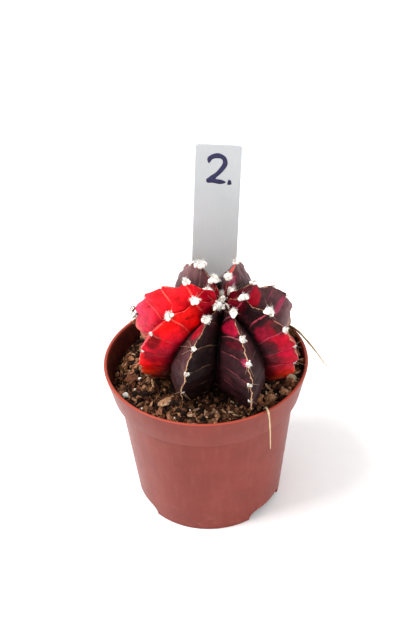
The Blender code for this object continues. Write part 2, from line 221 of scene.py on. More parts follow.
def skinned(rows: Array, start: Array, end: Array) -> Shape:
    """A closed surface over loops of points: quads between loops and a fan at each end.

    Args:
        rows: Loops of points, shaped (rows, columns, 3), turning anticlockwise seen from the end.
        start: The point that closes the first loop.
        end: The point that closes the last loop.

    Returns:
        The shape, its points in the order start, rows, end.
    """
    count, columns = rows.shape[:2]
    points = np.concatenate([start[None], rows.reshape(-1, 3), end[None]])
    j = np.arange(columns)
    k = (j + 1) % columns
    low = 1 + columns * np.arange(count - 1)[:, None]
    high = low + columns
    quads = np.stack([low + j, low + k, high + k, high + j], axis=-1).reshape(-1, 4)
    last = len(points) - 1
    top = last - columns
    fans = [np.stack([0 * j, 1 + k, 1 + j], 1), np.stack([0 * j + last, top + j, top + k], 1)]
    return Shape(points, np.concatenate(fans), quads)


def strands(paths: Array, radii: Array, sides: int) -> Shape:
    """Many thin closed rods at once: a ring of points square to each path at each of its points.

    Args:
        paths: Centre lines, shaped (rods, points, 3).
        radii: The radius at each point of each path, shaped (rods, points).
        sides: Corners of each ring.

    Returns:
        All the rods as one shape.
    """
    rods, steps = paths.shape[:2]
    along = np.gradient(paths, axis=1)
    along /= np.linalg.norm(along, axis=2, keepdims=True) + 1e-12
    mean = along.mean(axis=1, keepdims=True)
    helper = np.where(np.abs(mean[..., 2:]) < 0.8, [0.0, 0.0, 1.0], [1.0, 0.0, 0.0])
    across = np.cross(along, helper)
    across /= np.linalg.norm(across, axis=2, keepdims=True) + 1e-12
    other = np.cross(along, across)
    turn = np.arange(sides) * math.tau / sides
    ring = across[:, :, None] * np.cos(turn)[:, None] + other[:, :, None] * np.sin(turn)[:, None]
    points = paths[:, :, None] + ring * radii[:, :, None, None]
    base = (np.arange(rods) * steps * sides)[:, None, None]
    low = base + (np.arange(steps - 1) * sides)[:, None]
    j = np.arange(sides)
    k = (j + 1) % sides
    quads = np.stack([low + j, low + k, low + sides + k, low + sides + j], axis=-1)
    first = base[:, :, 0] + j
    last = first + (steps - 1) * sides
    caps = []
    for i in range(1, sides - 1):
        caps.append(np.stack([first[:, 0], first[:, i + 1], first[:, i]], 1))
        caps.append(np.stack([last[:, 0], last[:, i], last[:, i + 1]], 1))
    return Shape(points.reshape(-1, 3), np.concatenate(caps), quads.reshape(-1, 4))


def ball(detail: int) -> tuple[Array, Array]:
    """An even ball of radius 1.

    Args:
        detail: How many times its faces are split.

    Returns:
        Its points and its triangles.
    """
    build = bmesh.new()
    bmesh.ops.create_icosphere(build, subdivisions=detail, radius=1.0)
    points = np.array([vertex.co[:] for vertex in build.verts])
    faces = np.array([[vertex.index for vertex in face.verts] for face in build.faces])
    build.free()
    return points, faces


def lumps(centres: Array, sizes: Array, detail: int, rough: float, seed: int) -> Shape:
    """Many rough bits at once: balls pushed in and out by noise, stretched, turned and placed.

    Args:
        centres: Where the bits are, shaped (bits, 3).
        sizes: Their three half sizes, shaped (bits, 3).
        detail: How finely each ball is split.
        rough: How far the noise pushes, as a share of the radius.
        seed: Picks the noise and the turns.

    Returns:
        All the bits as one shape, with a random tone for each.
    """
    dice = np.random.default_rng(seed)
    sphere, faces = ball(detail)
    count = len(centres)
    offsets = dice.random((count, 1, 3)) * 40
    push = 1 + rough * layered_noise(sphere[None] * 1.2 + offsets, 1.0, seed, 3)
    local = sphere[None] * push[..., None] * sizes[:, None]
    points = np.einsum("nij,nkj->nki", random_turns(count, dice), local) + centres[:, None]
    triangles = faces[None] + (np.arange(count) * len(sphere))[:, None, None]
    shape = Shape(points.reshape(-1, 3), triangles.reshape(-1, 3))
    return shape.with_tone(np.repeat(dice.random(count), len(sphere)))


def add_piece(
    name: str,
    shape: Shape,
    finishes: list[bpy.types.Material],
    stands_for: tuple[str, ...] = (),
    marks: dict[str, Array] | None = None,
    finish_of_face: Array | None = None,
    smooth: bool = True,
) -> bpy.types.Object:
    """Makes one visible piece that moves with the part's body.

    Args:
        name: The piece's name.
        shape: Its surface.
        finishes: Its materials.
        stands_for: The nodes of the frame that it replaces.
        marks: More attributes by name: a number or a linear colour for each point.
        finish_of_face: Which material each face takes, triangles before quads, or None.
        smooth: Whether its faces are shaded smooth.

    Returns:
        The new object.
    """
    mesh = bpy.data.meshes.new(name)
    corners = np.concatenate([shape.triangles.ravel(), shape.quads.ravel()]).astype(np.int32)
    sizes = np.repeat([3, 4], [len(shape.triangles), len(shape.quads)])
    mesh.vertices.add(len(shape.points))
    mesh.vertices.foreach_set("co", shape.points.astype(np.float32).ravel())
    mesh.loops.add(len(corners))
    mesh.loops.foreach_set("vertex_index", corners)
    mesh.polygons.add(len(sizes))
    mesh.polygons.foreach_set("loop_start", (np.cumsum(sizes) - sizes).astype(np.int32))
    if finish_of_face is not None:
        mesh.polygons.foreach_set("material_index", np.asarray(finish_of_face, np.int32))
    mesh.polygons.foreach_set("use_smooth", np.full(len(sizes), smooth))
    mesh.update(calc_edges=True)
    marks = dict(marks or {})
    if shape.tones is not None:
        marks["tone"] = shape.tones
    for title, values in marks.items():
        kind, key = ("FLOAT", "value") if values.ndim == 1 else ("FLOAT_COLOR", "color")
        if values.ndim == 2:
            values = np.concatenate([values, np.ones((len(values), 1))], axis=1)
        mark = mesh.attributes.new(title, kind, "POINT")
        mark.data.foreach_set(key, values.astype(np.float32).ravel())
    for finish in finishes:
        mesh.materials.append(finish)
    piece = bpy.data.objects.new(name, mesh)
    bpy.context.scene.collection.objects.link(piece)
    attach(piece, BODY)
    if stands_for:
        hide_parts(*stands_for)
    LOG.info("%s: %d points, %d faces", name, len(shape.points), len(sizes))
    return piece


# ---------------------------------------------------------------- shader boards


class Signal:
    """A shader socket that takes part in arithmetic: each operator adds one Math node."""

    def __init__(self, board: "Board", socket: bpy.types.NodeSocket) -> None:
        """Wraps a socket of a board."""
        self.board = board
        self.socket = socket

    def math(self, operation: str, *others: "Signal | float", clamp: bool = False) -> "Signal":
        """One Math node with this signal first.

        Args:
            operation: The node's operation.
            others: The other values, in order.
            clamp: Whether the result is held to 0 to 1.

        Returns:
            The result.
        """
        settings = {"operation": operation, "use_clamp": clamp}
        inputs = dict(enumerate((self, *others)))
        return self.board.signal("ShaderNodeMath", settings, inputs)

    def __add__(self, other: "Signal | float") -> "Signal":
        """The sum."""
        return self.math("ADD", other)

    def __radd__(self, other: float) -> "Signal":
        """The sum, number first."""
        return self.math("ADD", other)

    def __sub__(self, other: "Signal | float") -> "Signal":
        """The difference."""
        return self.math("SUBTRACT", other)

    def __rsub__(self, other: float) -> "Signal":
        """The difference, number first."""
        return self.board.signal("ShaderNodeMath", {"operation": "SUBTRACT"}, {0: other, 1: self})

    def __mul__(self, other: "Signal | float") -> "Signal":
        """The product."""
        return self.math("MULTIPLY", other)

    def __rmul__(self, other: float) -> "Signal":
        """The product, number first."""
        return self.math("MULTIPLY", other)

    def held(self) -> "Signal":
        """This signal held to 0 to 1."""
        return self.math("ADD", 0.0, clamp=True)

    def band(self, low: float, high: float) -> "Signal":
        """A straight rise from 0 at low to 1 at high, or a fall where high is the smaller."""
        return ((self - low) * (1 / (high - low))).held()


class Board:
    """A material under construction, with its Principled shader."""

    def __init__(self, name: str, **constants: object) -> None:
        """Starts a material.

        Args:
            name: The material's name.
            constants: Values for the shader's sockets, with _ for a space in a socket's name.
        """
        self.material = bpy.data.materials.new(name)
        self.material.use_nodes = True
        self.tree = self.material.node_tree
        self.shader = self.tree.nodes["Principled BSDF"]
        for key, value in constants.items():
            self.shader.inputs[key.replace("_", " ")].default_value = value

    def node(self, kind: str, settings: dict | None = None, inputs: dict | None = None) -> bpy.types.Node:
        """Adds one node.

        Args:
            kind: The node's type.
            settings: Its properties, or a ramp's stops, which are set first.
            inputs: Values or signals for its sockets, by name or number.

        Returns:
            The node.
        """
        node = self.tree.nodes.new(kind)
        for key, value in (settings or {}).items():
            if key == "stops":
                self._set_stops(node.color_ramp, value)
            else:
                setattr(node, key, value)
        for key, value in (inputs or {}).items():
            if isinstance(value, Signal):
                self.tree.links.new(value.socket, node.inputs[key])
            else:
                node.inputs[key].default_value = value
        return node

    @staticmethod
    def _set_stops(ramp: bpy.types.ColorRamp, stops: list[tuple[float, Colour]]) -> None:
        """Gives a ramp its stops.

        Args:
            ramp: The ramp.
            stops: A place and a colour for each stop.
        """
        while len(ramp.elements) < len(stops):
            ramp.elements.new(1.0)
        for element, (place, colour) in zip(ramp.elements, stops):
            element.position = place
            element.color = (*colour, 1.0)

    def signal(
        self, kind: str, settings: dict | None = None, inputs: dict | None = None, out: int | str = 0
    ) -> Signal:
        """Adds one node and gives one of its outputs as a signal."""
        return Signal(self, self.node(kind, settings, inputs).outputs[out])

    def place(self, stretch: Colour = (1.0, 1.0, 1.0)) -> Signal:
        """Object coordinates, stretched along each axis."""
        place = self.signal("ShaderNodeTexCoord", out="Object")
        return self.signal("ShaderNodeMapping", None, {"Vector": place, "Scale": stretch})

    def height(self) -> Signal:
        """The height above the pot's base."""
        place = self.signal("ShaderNodeTexCoord", out="Object")
        return self.signal("ShaderNodeSeparateXYZ", None, {0: place}, out="Z")

    def attribute(self, name: str, out: str = "Fac") -> Signal:
        """One of the piece's own attributes."""
        return self.signal("ShaderNodeAttribute", {"attribute_name": name}, out=out)

    def noise(self, place: Signal, size: float, detail: float = 4.0, rough: float = 0.55) -> Signal:
        """Noise of 0 to 1 whose largest features have this size in metres."""
        inputs = {"Vector": place, "Scale": 1 / size, "Detail": detail, "Roughness": rough}
        return self.signal("ShaderNodeTexNoise", None, inputs)

    def cells(self, place: Signal, size: float) -> Signal:
        """The distance to the nearest middle of random cells of about this size."""
        return self.signal("ShaderNodeTexVoronoi", None, {"Vector": place, "Scale": 1 / size})

    def ramp(self, signal: Signal, stops: list[tuple[float, Colour]]) -> Signal:
        """Colours read along a signal."""
        return self.signal("ShaderNodeValToRGB", {"stops": stops}, {"Fac": signal}, out="Color")

    def mix(self, share: Signal | float, first: Signal | Colour, second: Signal | Colour) -> Signal:
        """Two colours mixed by a share.

        Args:
            share: How much of the second, 0 to 1.
            first: A colour or a signal.
            second: A colour or a signal.

        Returns:
            The mixed colour.
        """
        full = [(*c, 1.0) if isinstance(c, tuple) else c for c in (first, second)]
        inputs = {0: share, 6: full[0], 7: full[1]}
        return self.signal("ShaderNodeMix", {"data_type": "RGBA"}, inputs, out=2)

    def dress(
        self,
        colour: Signal,
        roughness: Signal | None = None,
        bump: Signal | None = None,
        depth: float = 0.0,
    ) -> bpy.types.Material:
        """Links what varies over the surface to the shader.

        Args:
            colour: The base colour.
            roughness: The roughness, or None to keep the constant.
            bump: A relief of 0 to 1, or None.
            depth: The relief's depth in metres.

        Returns:
            The finished material.
        """
        links = {"Base Color": colour}
        if roughness is not None:
            links["Roughness"] = roughness
        if bump is not None:
            relief = {"Height": bump, "Distance": depth, "Strength": 1.0}
            links["Normal"] = self.signal("ShaderNodeBump", None, relief)
        for socket, signal in links.items():
            self.tree.links.new(signal.socket, self.shader.inputs[socket])
        return self.material


# ---------------------------------------------------------------- finishes


@dataclass(frozen=True)
class PotPlastic:
    """Satin terracotta-coloured plastic, mottled and specked, with painted shade on the inner wall of its
    band and a painted highlight on its lip.
    """

    colour: Colour = srgb(128, 54, 43)
    dark: Colour = srgb(118, 47, 37)
    # Painted highlight: a lighter colour for the top of the lip.
    lip: Colour = srgb(166, 76, 60)
    dust: Colour = srgb(190, 136, 122)
    # The dirt colour also serves as the painted shade on the band's inner wall.
    dirt: Colour = srgb(48, 22, 18)
    lip_height: float = 44.1 * MM
    # Painted shade: the band's inner wall is darkened between these two heights.
    shade_below: float = 43.6 * MM
    shade_above: float = 35.8 * MM
    inner_radius: float = 26.9 * MM

    def material(self) -> bpy.types.Material:
        """Builds the finish.

        Returns:
            The material.
        """
        board = Board("pot_plastic", Specular_IOR_Level=0.3)
        place = board.place()
        height = board.height()
        mottled = board.mix(board.noise(place, 9 * MM).band(0.35, 0.7), self.dark, self.colour)
        streaks = board.noise(board.place((1.0, 1.0, 0.08)), 1.4 * MM, 3.0)
        drawn = board.mix(streaks.band(0.5, 0.8) * 0.06, mottled, self.dust)
        foot = height.band(9 * MM, 0.0) * board.noise(place, 3.2 * MM).band(0.52, 0.72)
        dusty = board.mix(foot * 0.3, drawn, self.dust)
        specks = board.cells(place, 1.9 * MM).band(0.09, 0.05) * board.noise(place, 8 * MM).band(0.5, 0.62)
        splash = height.band(7 * MM, 1 * MM) * board.noise(place, 1.6 * MM, 5.0, 0.6).band(0.60, 0.68)
        muddy = board.mix(splash * board.noise(place, 12 * MM).band(0.45, 0.6) * 0.8, dusty, self.dirt)
        specked = board.mix(specks * 0.8, muddy, self.dirt)
        # Painted shade: the inner wall of the band, between the two heights above, is darkened in blotches
        # with the dirt colour.
        flat = {"operation": "LENGTH"}
        radius = board.signal("ShaderNodeVectorMath", flat, {0: board.place((1.0, 1.0, 0.0))}, "Value")
        slant = (height - self.shade_above) * 0.2 + self.inner_radius - 1.9 * MM
        inside = (radius - slant).band(0.3 * MM, 0.0)
        low = height.band(self.shade_above, self.shade_above + 0.4 * MM)
        inner_shade = inside * low * height.band(self.shade_below + 0.4 * MM, self.shade_below - 0.6 * MM)
        shade_blots = board.noise(place, 2.2 * MM, 5.0, 0.6).band(0.30, 0.62)
        inner_shaded = board.mix(inner_shade * (0.45 + shade_blots * 0.5), specked, self.dirt)
        # Painted highlight: the top of the lip, above lip_height, takes the lighter lip colour.
        lip_highlighted = board.mix(height.band(self.lip_height, self.lip_height + 0.4 * MM) * 0.85, inner_shaded, self.lip)
        rough = board.noise(place, 2.5 * MM) * 0.14 + 0.30 + foot * 0.25
        grain = board.noise(place, 0.35 * MM, 2.0) * 0.4 + board.noise(place, 4 * MM, 2.0)
        return board.dress(lip_highlighted, rough, grain, 0.05 * MM)


@dataclass(frozen=True)
class PottingSoil:
    """Dark damp peat with fibres and paler crumbs."""

    dark: Colour = srgb(17, 10, 7)
    middle: Colour = srgb(62, 38, 24)
    pale: Colour = srgb(158, 112, 72)

    def material(self) -> bpy.types.Material:
        """Builds the finish.

        Returns:
            The material.
        """
        board = Board("peat", Roughness=0.95, Specular_IOR_Level=0.25)
        place = board.place()
        grain = board.noise(place, 1.6 * MM, 8.0, 0.7)
        crumbs = board.cells(place, 1.3 * MM)
        tone = (grain * 0.8 + crumbs * 0.35).held()
        colour = board.ramp(tone, [(0.36, self.dark), (0.6, self.middle), (0.82, self.pale)])
        return board.dress(colour, None, grain - crumbs * 0.6, 0.5 * MM)


@dataclass(frozen=True)
class Litter:
    """Loose plant bits whose colour follows each bit's own tone, with fine grain."""

    name: str
    stops: tuple[tuple[float, Colour], ...]
    grain: float = 0.5 * MM
    stretch: Colour = (1.0, 1.0, 1.0)
    shade: Colour = srgb(40, 26, 18)
    shading: float = 0.75
    roughness: float = 0.9

    def material(self) -> bpy.types.Material:
        """Builds the finish.

        Returns:
            The material.
        """
        board = Board(self.name, Roughness=self.roughness, Specular_IOR_Level=0.3)
        place = board.place(self.stretch)
        base = board.ramp(board.attribute("tone"), list(self.stops))
        grain = board.noise(place, self.grain, 6.0, 0.65)
        shaded = board.mix(grain.band(0.62, 0.34) * self.shading, base, self.shade)
        return board.dress(shaded, None, grain, 0.25 * MM)


@dataclass(frozen=True)
class Flesh:
    """Cactus skin: painted colours with painted shade in the grooves, thin cross veins, a corky crest line
    and a waxy gloss.
    """

    cork: Colour = srgb(158, 122, 96)
    vein_width: float = 0.050
    crest_width: float = 0.036
    scatter: float = 0.5 * MM

    def material(self) -> bpy.types.Material:
        """Builds the finish.

        Returns:
            The material.
        """
        board = Board("flesh", Specular_IOR_Level=0.14)
        board.shader.inputs["Subsurface Weight"].default_value = 0.10
        board.shader.inputs["Subsurface Radius"].default_value = (1.0, 0.2, 0.15)
        board.shader.inputs["Subsurface Scale"].default_value = self.scatter
        place = board.place()
        share = board.attribute("share")
        fine = board.noise(place, 0.9 * MM, 4.0, 0.6)
        pores = board.noise(place, 0.3 * MM, 3.0, 0.7)
        blotches = board.noise(place, 2.4 * MM, 5.0, 0.6)
        # The paint attribute carries the painted shade of the grooves as well as the skin's colours.
        deep = board.mix(blotches.band(0.62, 0.34) * 0.45, board.attribute("paint", "Color"), (0.0, 0.0, 0.0))
        lit = board.mix(pores.band(0.55, 0.85) * 0.22, deep, board.attribute("vein_paint", "Color"))
        down = board.attribute("down") + (fine - 0.5) * 0.16
        from_vein = ((down + 0.5).math("FRACT") - 0.5).math("ABSOLUTE")
        face = share.band(0.03, 0.10) * share.band(0.97, 0.60)
        vein = from_vein.band(self.vein_width, self.vein_width * 0.3) * face
        worn = vein * board.noise(place, 3.5 * MM, 2.0).band(0.30, 0.55) * board.attribute("vein_share")
        veined = board.mix(worn.held(), lit, board.attribute("vein_paint", "Color"))
        wander = (board.noise(place, 1.5 * MM, 3.0, 0.6) - 0.5) * 0.26
        from_crest = (board.attribute("across") + wander).math("ABSOLUTE")
        crest = from_crest.band(self.crest_width, self.crest_width * 0.4) * share.band(0.34, 0.22)
        corky = (crest * board.attribute("crest_share")).held()
        crusted = board.mix(corky, veined, board.attribute("crest_paint", "Color"))
        scab = (board.attribute("tone") * fine.band(0.2, 0.5)).held()
        colour = board.mix(scab, crusted, self.cork)
        rough = pores * 0.2 + 0.36 + corky * 0.3 + scab * 0.3
        relief = pores * 0.25 + blotches * 0.7 + worn * 0.8 + corky * 1.1 + scab * fine
        return board.dress(colour, rough, relief, 0.16 * MM)


@dataclass(frozen=True)
class Wool:
    """Felted white wool, creamier inside each tuft."""

    white: Colour = srgb(252, 251, 248)
    cream: Colour = srgb(222, 204, 176)

    def material(self) -> bpy.types.Material:
        """Builds the finish.

        Returns:
            The material.
        """
        board = Board("wool", Roughness=1.0, Specular_IOR_Level=0.1, Sheen_Weight=0.6)
        fibres = board.noise(board.place(), 0.22 * MM, 5.0, 0.7)
        share = (board.attribute("tone") * 0.8 + fibres.band(0.6, 0.3) * 0.12).held()
        return board.dress(board.mix(share, self.white, self.cream), None, fibres, 0.12 * MM)


@dataclass(frozen=True)
class Spine:
    """Dry brown spines, paler towards their points."""

    base: Colour = srgb(92, 62, 46)
    point: Colour = srgb(176, 150, 124)

    def material(self) -> bpy.types.Material:
        """Builds the finish.

        Returns:
            The material.
        """
        board = Board("spine", Roughness=0.6)
        rings = board.noise(board.place(), 0.4 * MM, 3.0)
        share = (board.attribute("tone") * 0.8 + rings * 0.3).held()
        return board.dress(board.mix(share, self.base, self.point), None, rings, 0.03 * MM)


@dataclass(frozen=True)
class LabelPlastic:
    """Pale grey label plastic with faint drawn lines, smears and dirt near the soil."""

    pale: Colour = srgb(176, 179, 182)
    grey: Colour = srgb(164, 167, 170)
    soil: Colour = srgb(110, 92, 74)
    soil_height: float = 46 * MM

    def material(self) -> bpy.types.Material:
        """Builds the finish.

        Returns:
            The material.
        """
        board = Board("label_plastic", Roughness=0.42, Subsurface_Weight=0.08)
        place = board.place()
        smears = board.noise(place, 14 * MM, 4.0)
        lines = board.noise(board.place((1.0, 1.0, 0.03)), 0.7 * MM, 2.0)
        base = board.mix(smears.band(0.3, 0.7) * 0.7 + lines.band(0.5, 0.8) * 0.25, self.grey, self.pale)
        marks = board.height().band(self.soil_height + 12 * MM, self.soil_height)
        dirt = marks * board.noise(place, 1.8 * MM, 5.0).band(0.5, 0.75)
        soiled = board.mix(dirt * 0.7, base, self.soil)
        relief = lines * 0.6 + smears * 0.4
        return board.dress(soiled, smears * 0.15 + 0.36, relief, 0.03 * MM)


@dataclass(frozen=True)
class MarkerInk:
    """Dark blue-violet marker ink with paler streaks along the stroke."""

    ink: Colour = srgb(34, 32, 70)
    worn: Colour = srgb(74, 74, 110)

    def material(self) -> bpy.types.Material:
        """Builds the finish.

        Returns:
            The material.
        """
        board = Board("marker_ink", Roughness=0.5)
        wear = board.noise(board.place(), 0.5 * MM, 5.0, 0.7)
        return board.dress(board.mix(wear.band(0.5, 0.8) * 0.6, self.ink, self.worn), None, wear, 0.01 * MM)


# ---------------------------------------------------------------- the plant


Stops = tuple[tuple[float, Colour], ...]


@dataclass(frozen=True)
class FacePaint:
    """Colours of one face of a rib, by angle from the crown, near its crest and in its groove: the groove
    side runs darker, partly its own colour and partly painted shade.
    """

    near: Stops
    # Partly painted shade: these stops run darker than the crest-side ones, towards the groove.
    far: Stops
    vein: Colour
    vein_share: float
    crest: Colour
    crest_share: float

    def colours(self, angles: Array, share: Array) -> Array:
        """The colour at each angle and share of the face."""
        return mixed(read_stops(self.near, angles), read_stops(self.far, angles), share)


def read_stops(stops: Stops, angles: Array) -> Array:
    """Colours read along stops of an angle and a colour.

    Args:
        stops: The stops.
        angles: Where they are read, in degrees.

    Returns:
        A colour for each angle.
    """
    places = [place for place, _ in stops]
    channels = [np.interp(angles, places, [colour[k] for _, colour in stops]) for k in range(3)]
    return np.stack(channels, axis=-1)


SCARLET = srgb(236, 6, 6)
RED = srgb(246, 34, 48)
PINK = srgb(232, 62, 92)
ORANGE = srgb(226, 66, 28)
CRIMSON = srgb(186, 8, 44)
WINE = srgb(128, 4, 34)
BLOOD = srgb(104, 2, 12)
NIGHT = srgb(30, 11, 15)
BLACK = srgb(13, 3, 5)
PLUM = srgb(56, 31, 35)
MAUVE = srgb(92, 60, 63)
LILAC = srgb(140, 104, 106)
MAGENTA = srgb(172, 48, 88)
TAN = srgb(186, 146, 116)
BLUSH = srgb(240, 120, 104)
UMBER = srgb(74, 44, 34)


class Palette(Enum):
    """The named ways that a rib's face is coloured."""

    # Most palettes run near black at their lowest angles, on the undersides by the soil, and darker towards
    # the groove: partly the faces' own colours, partly painted shade.
    FLAME = FacePaint(
        ((10, CRIMSON), (24, RED), (55, RED), (75, PINK), (96, PINK), (116, TAN), (140, UMBER)),
        ((10, WINE), (40, RED), (70, CRIMSON), (100, CRIMSON), (140, UMBER)),
        BLUSH, 0.75, BLUSH, 0.5,
    )
    EMBER = FacePaint(
        (
            (8, CRIMSON), (18, SCARLET), (52, SCARLET), (72, CRIMSON),
            (96, SCARLET), (116, ORANGE), (130, BLOOD),
        ),
        ((8, WINE), (26, SCARLET), (56, CRIMSON), (74, WINE), (94, WINE), (112, PLUM), (132, BLACK)),
        BLUSH, 0.55, BLUSH, 0.55,
    )
    DUSK = FacePaint(
        ((8, PLUM), (30, MAUVE), (52, MAUVE), (90, PLUM), (118, PLUM), (140, NIGHT)),
        ((8, NIGHT), (34, WINE), (50, PLUM), (90, PLUM), (118, PLUM), (140, NIGHT)),
        TAN, 0.4, TAN, 1.0,
    )
    # Partly painted shade: a darker copy of the purple of this rib's other face, for the face in the shade of
    # the front groove.
    NIGHTFALL = FacePaint(
        ((8, MAUVE), (32, PLUM), (54, NIGHT), (100, NIGHT), (140, BLACK)),
        ((8, BLACK), (50, BLACK), (80, NIGHT), (140, BLACK)),
        srgb(128, 100, 84), 0.6, TAN, 1.0,
    )
    # Partly painted shade: a darker copy of the purple of this rib's other face, for the face in the shade of
    # the front groove.
    SMOULDER = FacePaint(
        ((8, PLUM), (24, PLUM), (44, PLUM), (70, PLUM), (100, NIGHT), (140, BLACK)),
        ((8, BLACK), (30, NIGHT), (60, PLUM), (100, PLUM), (140, BLACK)),
        srgb(172, 92, 100), 0.7, TAN, 1.0,
    )
    SLATE = FacePaint(
        ((8, NIGHT), (30, MAUVE), (60, PLUM), (100, PLUM), (140, NIGHT)),
        ((8, BLACK), (40, NIGHT), (60, NIGHT), (100, PLUM), (140, NIGHT)),
        srgb(132, 104, 92), 0.4, TAN, 1.0,
    )
    CLARET = FacePaint(
        ((8, WINE), (24, NIGHT), (42, PLUM), (58, CRIMSON), (96, CRIMSON), (114, ORANGE), (132, BLOOD)),
        ((8, BLACK), (30, NIGHT), (50, NIGHT), (80, PLUM), (104, BLOOD), (132, BLACK)),
        srgb(206, 84, 104), 0.6, TAN, 0.8,
    )
    HEATHER = FacePaint(
        ((8, WINE), (26, MAUVE), (60, MAUVE), (86, LILAC), (110, TAN), (140, UMBER)),
        ((8, CRIMSON), (34, PLUM), (70, MAUVE), (100, PLUM), (140, UMBER)),
        MAGENTA, 0.5, TAN, 0.9,
    )
    BARK = FacePaint(
        ((8, WINE), (24, MAUVE), (60, LILAC), (100, MAUVE), (140, UMBER)),
        ((8, NIGHT), (40, PLUM), (80, MAUVE), (140, UMBER)),
        srgb(156, 120, 110), 0.4, TAN, 0.7,
    )


@dataclass(frozen=True)
class Rib:
    """One rib (degrees and millimetres): its place, size, row of areoles, tufts and two faces."""

    name: str
    azimuth: float
    reach: float
    rise: float
    first: float
    step: float
    tufts: tuple[float, ...]
    before: Palette
    after: Palette
    veer: float = 0.0
    groove_veer: float = 0.0
    groove_reach: float = 0.70
    lower_power: float = 0.79
    extra: int = 0

    def areole_angles(self) -> Array:
        """Each areole's angle from the crown."""
        return self.first + self.step * np.arange(len(self.tufts))


RIBS = [
    Rib("rib_1", -150.5, 21.2, 15.7, 12, 18.0, (1.35, 1.45, 0.8, 0.6, 0.5), Palette.BARK, Palette.BARK),
    Rib("rib_2", -102.0, 23.2, 16.4, 24, 20.5, (1.05, 0.5, 0.4, 0.45), Palette.FLAME, Palette.FLAME),
    Rib("rib_3", -64.2, 23.5, 14.7, 19, 20.8, (1.25, 1.2, 0.6, 0.55, 0.5),
        Palette.FLAME, Palette.EMBER, -2, -7, 0.74, 0.5),
    Rib("rib_4", -25.8, 22.6, 13.6, 24, 24.6, (1.25, 0.6, 0.7, 0.5),
        Palette.DUSK, Palette.NIGHTFALL, -3, 0, 0.59),
    Rib("rib_5", 17.8, 25.0, 15.0, 18, 18.7, (1.2, 0.9, 0.75, 0.65, 0.6),
        Palette.SMOULDER, Palette.SLATE, 4, 7, 0.71, 1.35, 1),
    Rib("rib_6", 62.8, 22.6, 15.7, 14, 19.6, (1.15, 1.3, 0.9, 0.6, 0.55), Palette.CLARET, Palette.CLARET, 2),
    Rib("rib_7", 109.3, 20.7, 16.2, 23, 20.0, (0.8, 0.45, 0.4, 0.4, 0.4), Palette.HEATHER, Palette.HEATHER),
    Rib("rib_8", 162.6, 20.6, 15.7, 14, 22.5, (1.3, 1.0, 0.7, 0.5), Palette.BARK, Palette.BARK),
]


@dataclass(frozen=True)
class Blotch:
    """A patch of another colour on a rib: side 1 is the face after the crest, -1 the one before."""

    rib: int
    side: int
    angle: float
    share: float
    tall: float
    wide: float
    colour: Colour
    strength: float = 1.0


BLOTCHES = [
    Blotch(2, 1, 66, 0.25, 7, 0.22, BLOOD, 0.85),
    Blotch(2, 1, 31, 0.38, 2.0, 0.04, BLACK, 0.9),
    Blotch(2, 1, 86, 0.45, 9, 0.30, WINE, 0.6),
    Blotch(1, 1, 66, 0.35, 3.0, 0.06, WINE, 0.5),
    Blotch(3, -1, 34, 0.4, 9, 0.4, CRIMSON, 0.75),
    Blotch(4, -1, 27, 0.42, 7, 0.5, srgb(180, 24, 62), 1.0),
    Blotch(4, -1, 55, 0.12, 4, 0.16, MAGENTA, 0.9),
    Blotch(4, -1, 42, 0.35, 4, 0.4, WINE, 0.35),
    Blotch(5, -1, 30, 0.35, 5, 0.30, NIGHT, 0.9),
    Blotch(5, -1, 46, 0.62, 8, 0.26, srgb(150, 20, 50), 0.9),
    Blotch(5, -1, 48, 0.16, 7, 0.14, srgb(60, 38, 36), 0.95),
    Blotch(5, -1, 64, 0.40, 6, 0.22, CRIMSON, 0.6),
    Blotch(5, -1, 74, 0.34, 6, 0.26, srgb(196, 2, 56), 0.9),
    Blotch(5, -1, 62, 0.75, 10, 0.25, PLUM, 0.8),
    Blotch(6, -1, 28, 0.55, 7, 0.4, CRIMSON, 0.95),
    Blotch(6, -1, 58, 0.5, 4, 0.35, MAGENTA, 0.7),
    Blotch(7, -1, 20, 0.3, 8, 0.3, MAGENTA, 0.7),
    Blotch(7, 1, 30, 0.1, 8, 0.2, RED, 0.7),
]


